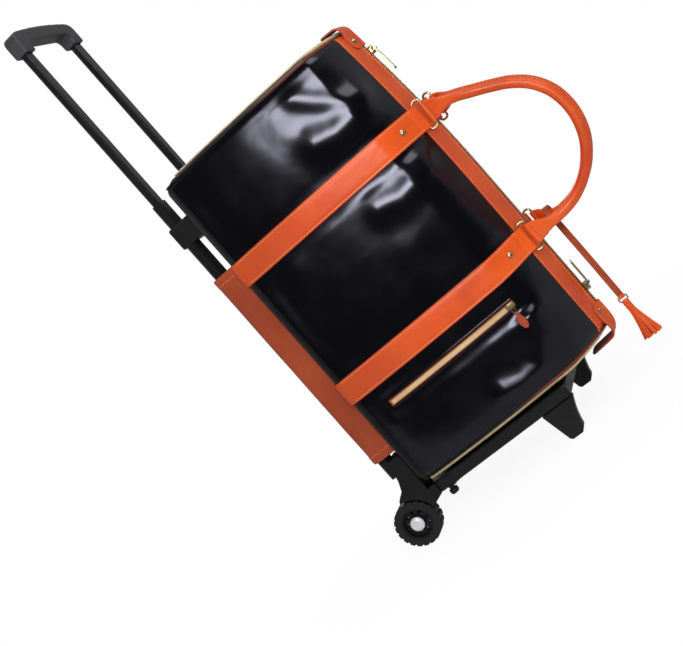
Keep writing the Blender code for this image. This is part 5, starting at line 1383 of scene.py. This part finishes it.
def softened(name, node, voxel, rounds, finish, well):
    """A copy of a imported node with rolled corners, at the origin."""
    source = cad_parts[node]
    mesh = source.data.copy()
    mesh.transform(source.matrix_world)
    carrier = bpy.data.objects.new(name + "_source", mesh)
    bpy.context.scene.collection.objects.link(carrier)
    remesh = carrier.modifiers.new("skin", "REMESH")
    remesh.mode, remesh.voxel_size = "VOXEL", voxel
    rolled = carrier.modifiers.new("roll", "SMOOTH")
    rolled.factor, rolled.iterations = 0.5, rounds
    cut = carrier.modifiers.new("well", "BOOLEAN")
    cut.operation, cut.solver, cut.object = "DIFFERENCE", "EXACT", well
    graph = bpy.context.evaluated_depsgraph_get()
    made = bpy.data.meshes.new_from_object(carrier.evaluated_get(graph))
    made.name = name
    bpy.data.objects.remove(carrier)
    bpy.data.objects.remove(well)
    made.materials.clear()
    made.materials.append(finish)
    made.shade_smooth()
    made.set_sharp_from_angle(angle=radians(50))
    piece = bpy.data.objects.new(name, made)
    bpy.context.scene.collection.objects.link(piece)
    return piece


belongs(softened("grip_rubber_skin", "grip", 0.0012, 26, grip_rubber, button_well()), "trolley",
        "grip_rubber", "grip")
print("grip done")

# %% [markdown]
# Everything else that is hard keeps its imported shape, which is already exact, and only gets a
# finish.

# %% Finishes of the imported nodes
CAD_FINISHES = {
    black_abs: ("base_frame", "foot_near", "foot_far", "wheel_housing_near", "wheel_housing_far",
                "frame_bolt_near", "frame_bolt_far", "rim_near", "rim_far", "tube_collar",
                "release_button"),
    rod_paint: ("inner_rod_near", "inner_rod_far", "outer_tube_near", "outer_tube_far"),
    tyre_rubber: ("tyre_near", "tyre_far"),
    zinc_steel: ("axle_near", "axle_far"),
    gold_plate: ("pocket_slider", "ridge_slider_upper", "ridge_slider_lower", "ridge_pull_upper",
                 "ridge_pull_lower"),
}
for finish, names in CAD_FINISHES.items():
    for name in names:
        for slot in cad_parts[name].material_slots:
            slot.material = finish
print("packed nodes dressed", sum(len(v) for v in CAD_FINISHES.values()))

# %% [markdown]
# The studio is a white sweep. The floor takes the object's soft shadow close by and fades to pure
# white further out. The world is white behind the object and dim behind the camera, as in a room
# with soft boxes, so polished leather stays dark between its highlights.

# %% Studio
DARK_SIDE = (-0.93, -0.36, 0.0)          # glossy hide mirrors little room from this side
ROOM_LIGHT, ROOM_DARK, SOFT_LIGHT = 0.35, 0.02, 0.34
FLOOR_HALF, FLOOR_Z = 9, -0.0006
floor_mesh = bpy.data.meshes.new("studio_floor")
floor_mesh.from_pydata([(FLOOR_HALF * x, FLOOR_HALF * y, FLOOR_Z)
                        for x, y in ((-1, -1), (1, -1), (1, 1), (-1, 1))], [], [(0, 1, 2, 3)])
floor = bpy.data.objects.new("studio_floor", floor_mesh)
bpy.context.scene.collection.objects.link(floor)
sweep, tree, shader = new_finish("white_studio_sweep", roughness=0.9, specular_ior_level=0.1)
shader.inputs["Base Color"].default_value = colour("#F4F4F4")
rays = add(tree, "ShaderNodeLightPath").outputs
seen = maths(tree, "MAXIMUM", rays["Is Camera Ray"], rays["Is Glossy Ray"])
seen = maths(tree, "MAXIMUM", seen, rays["Is Transmission Ray"])
away = add(tree, "ShaderNodeVectorMath", {0: place_of(tree)}, operation="LENGTH")
share = maths(tree, "MULTIPLY", seen, eased(tree, away.outputs["Value"], 0.25, 0.6, 0.92, 1.0))
side_share = add(tree, "ShaderNodeVectorMath", {0: place_of(tree), 1: DARK_SIDE},
                 operation="DOT_PRODUCT")
room = eased(tree, side_share.outputs["Value"], 0.1, 0.9, ROOM_LIGHT, ROOM_DARK)
level = maths(tree, "MAXIMUM", room, rays["Is Camera Ray"])
glow = add(tree, "ShaderNodeEmission", {"Color": (1, 1, 1, 1), "Strength": level})
both = add(tree, "ShaderNodeMixShader", {0: share, 1: shader.outputs[0], 2: glow.outputs[0]})
tree.links.new(both.outputs[0], tree.nodes["Material Output"].inputs["Surface"])
floor_mesh.materials.append(sweep)

world = bpy.data.worlds.new("white_studio")
bpy.context.scene.world = world
world.use_nodes = True
tree = world.node_tree
back = tree.nodes["Background"]
rays = add(tree, "ShaderNodeLightPath").outputs
around = add(tree, "ShaderNodeTexCoord").outputs["Generated"]
facing = add(tree, "ShaderNodeVectorMath", {0: around, 1: DARK_SIDE}, operation="DOT_PRODUCT")
room = eased(tree, facing.outputs["Value"], -0.1, 0.5, ROOM_LIGHT, ROOM_DARK)
mirrored = maths(tree, "MAXIMUM", rays["Is Glossy Ray"], rays["Is Transmission Ray"])
straight = maths(tree, "MAXIMUM", rays["Is Camera Ray"], maths(tree, "MULTIPLY", mirrored, room))
any_ray = maths(tree, "MAXIMUM", rays["Is Camera Ray"], mirrored)
soft = maths(tree, "MULTIPLY", maths(tree, "SUBTRACT", 1.0, any_ray), SOFT_LIGHT)
strength = maths(tree, "ADD", straight, soft)
back.inputs["Color"].default_value = (1, 1, 1, 1)
tree.links.new(strength, back.inputs["Strength"])


def soft_box(name, direction, distance, width, height, power, aim=(0.0, -0.2, 0.33)):
    """A rectangular lamp that looks at the bag."""
    lamp = bpy.data.lights.new(name, "AREA")
    lamp.shape = "RECTANGLE"
    lamp.size, lamp.size_y, lamp.energy = width, height, power
    holder = bpy.data.objects.new(name, lamp)
    away = Vector(direction).normalized()
    holder.location = in_frame(*aim) + away * distance
    holder.rotation_euler = away.to_track_quat("Z", "Y").to_euler()
    bpy.context.scene.collection.objects.link(holder)
    return holder


soft_box("key_box", (-0.93, -0.20, 0.29), 1.7, 1.0, 0.42, 18)
soft_box("front_box", (-0.15, -0.72, 0.68), 2.0, 1.1, 1.1, 11)
soft_box("top_box", (0.0, -0.1, 1.0), 2.1, 1.2, 1.2, 10)
soft_box("back_box", (-0.45, 0.85, 0.30), 2.2, 0.8, 1.0, 3)
soft_box("far_box", (0.78, 0.42, 0.46), 1.9, 0.8, 0.5, 9)
print("studio lit")
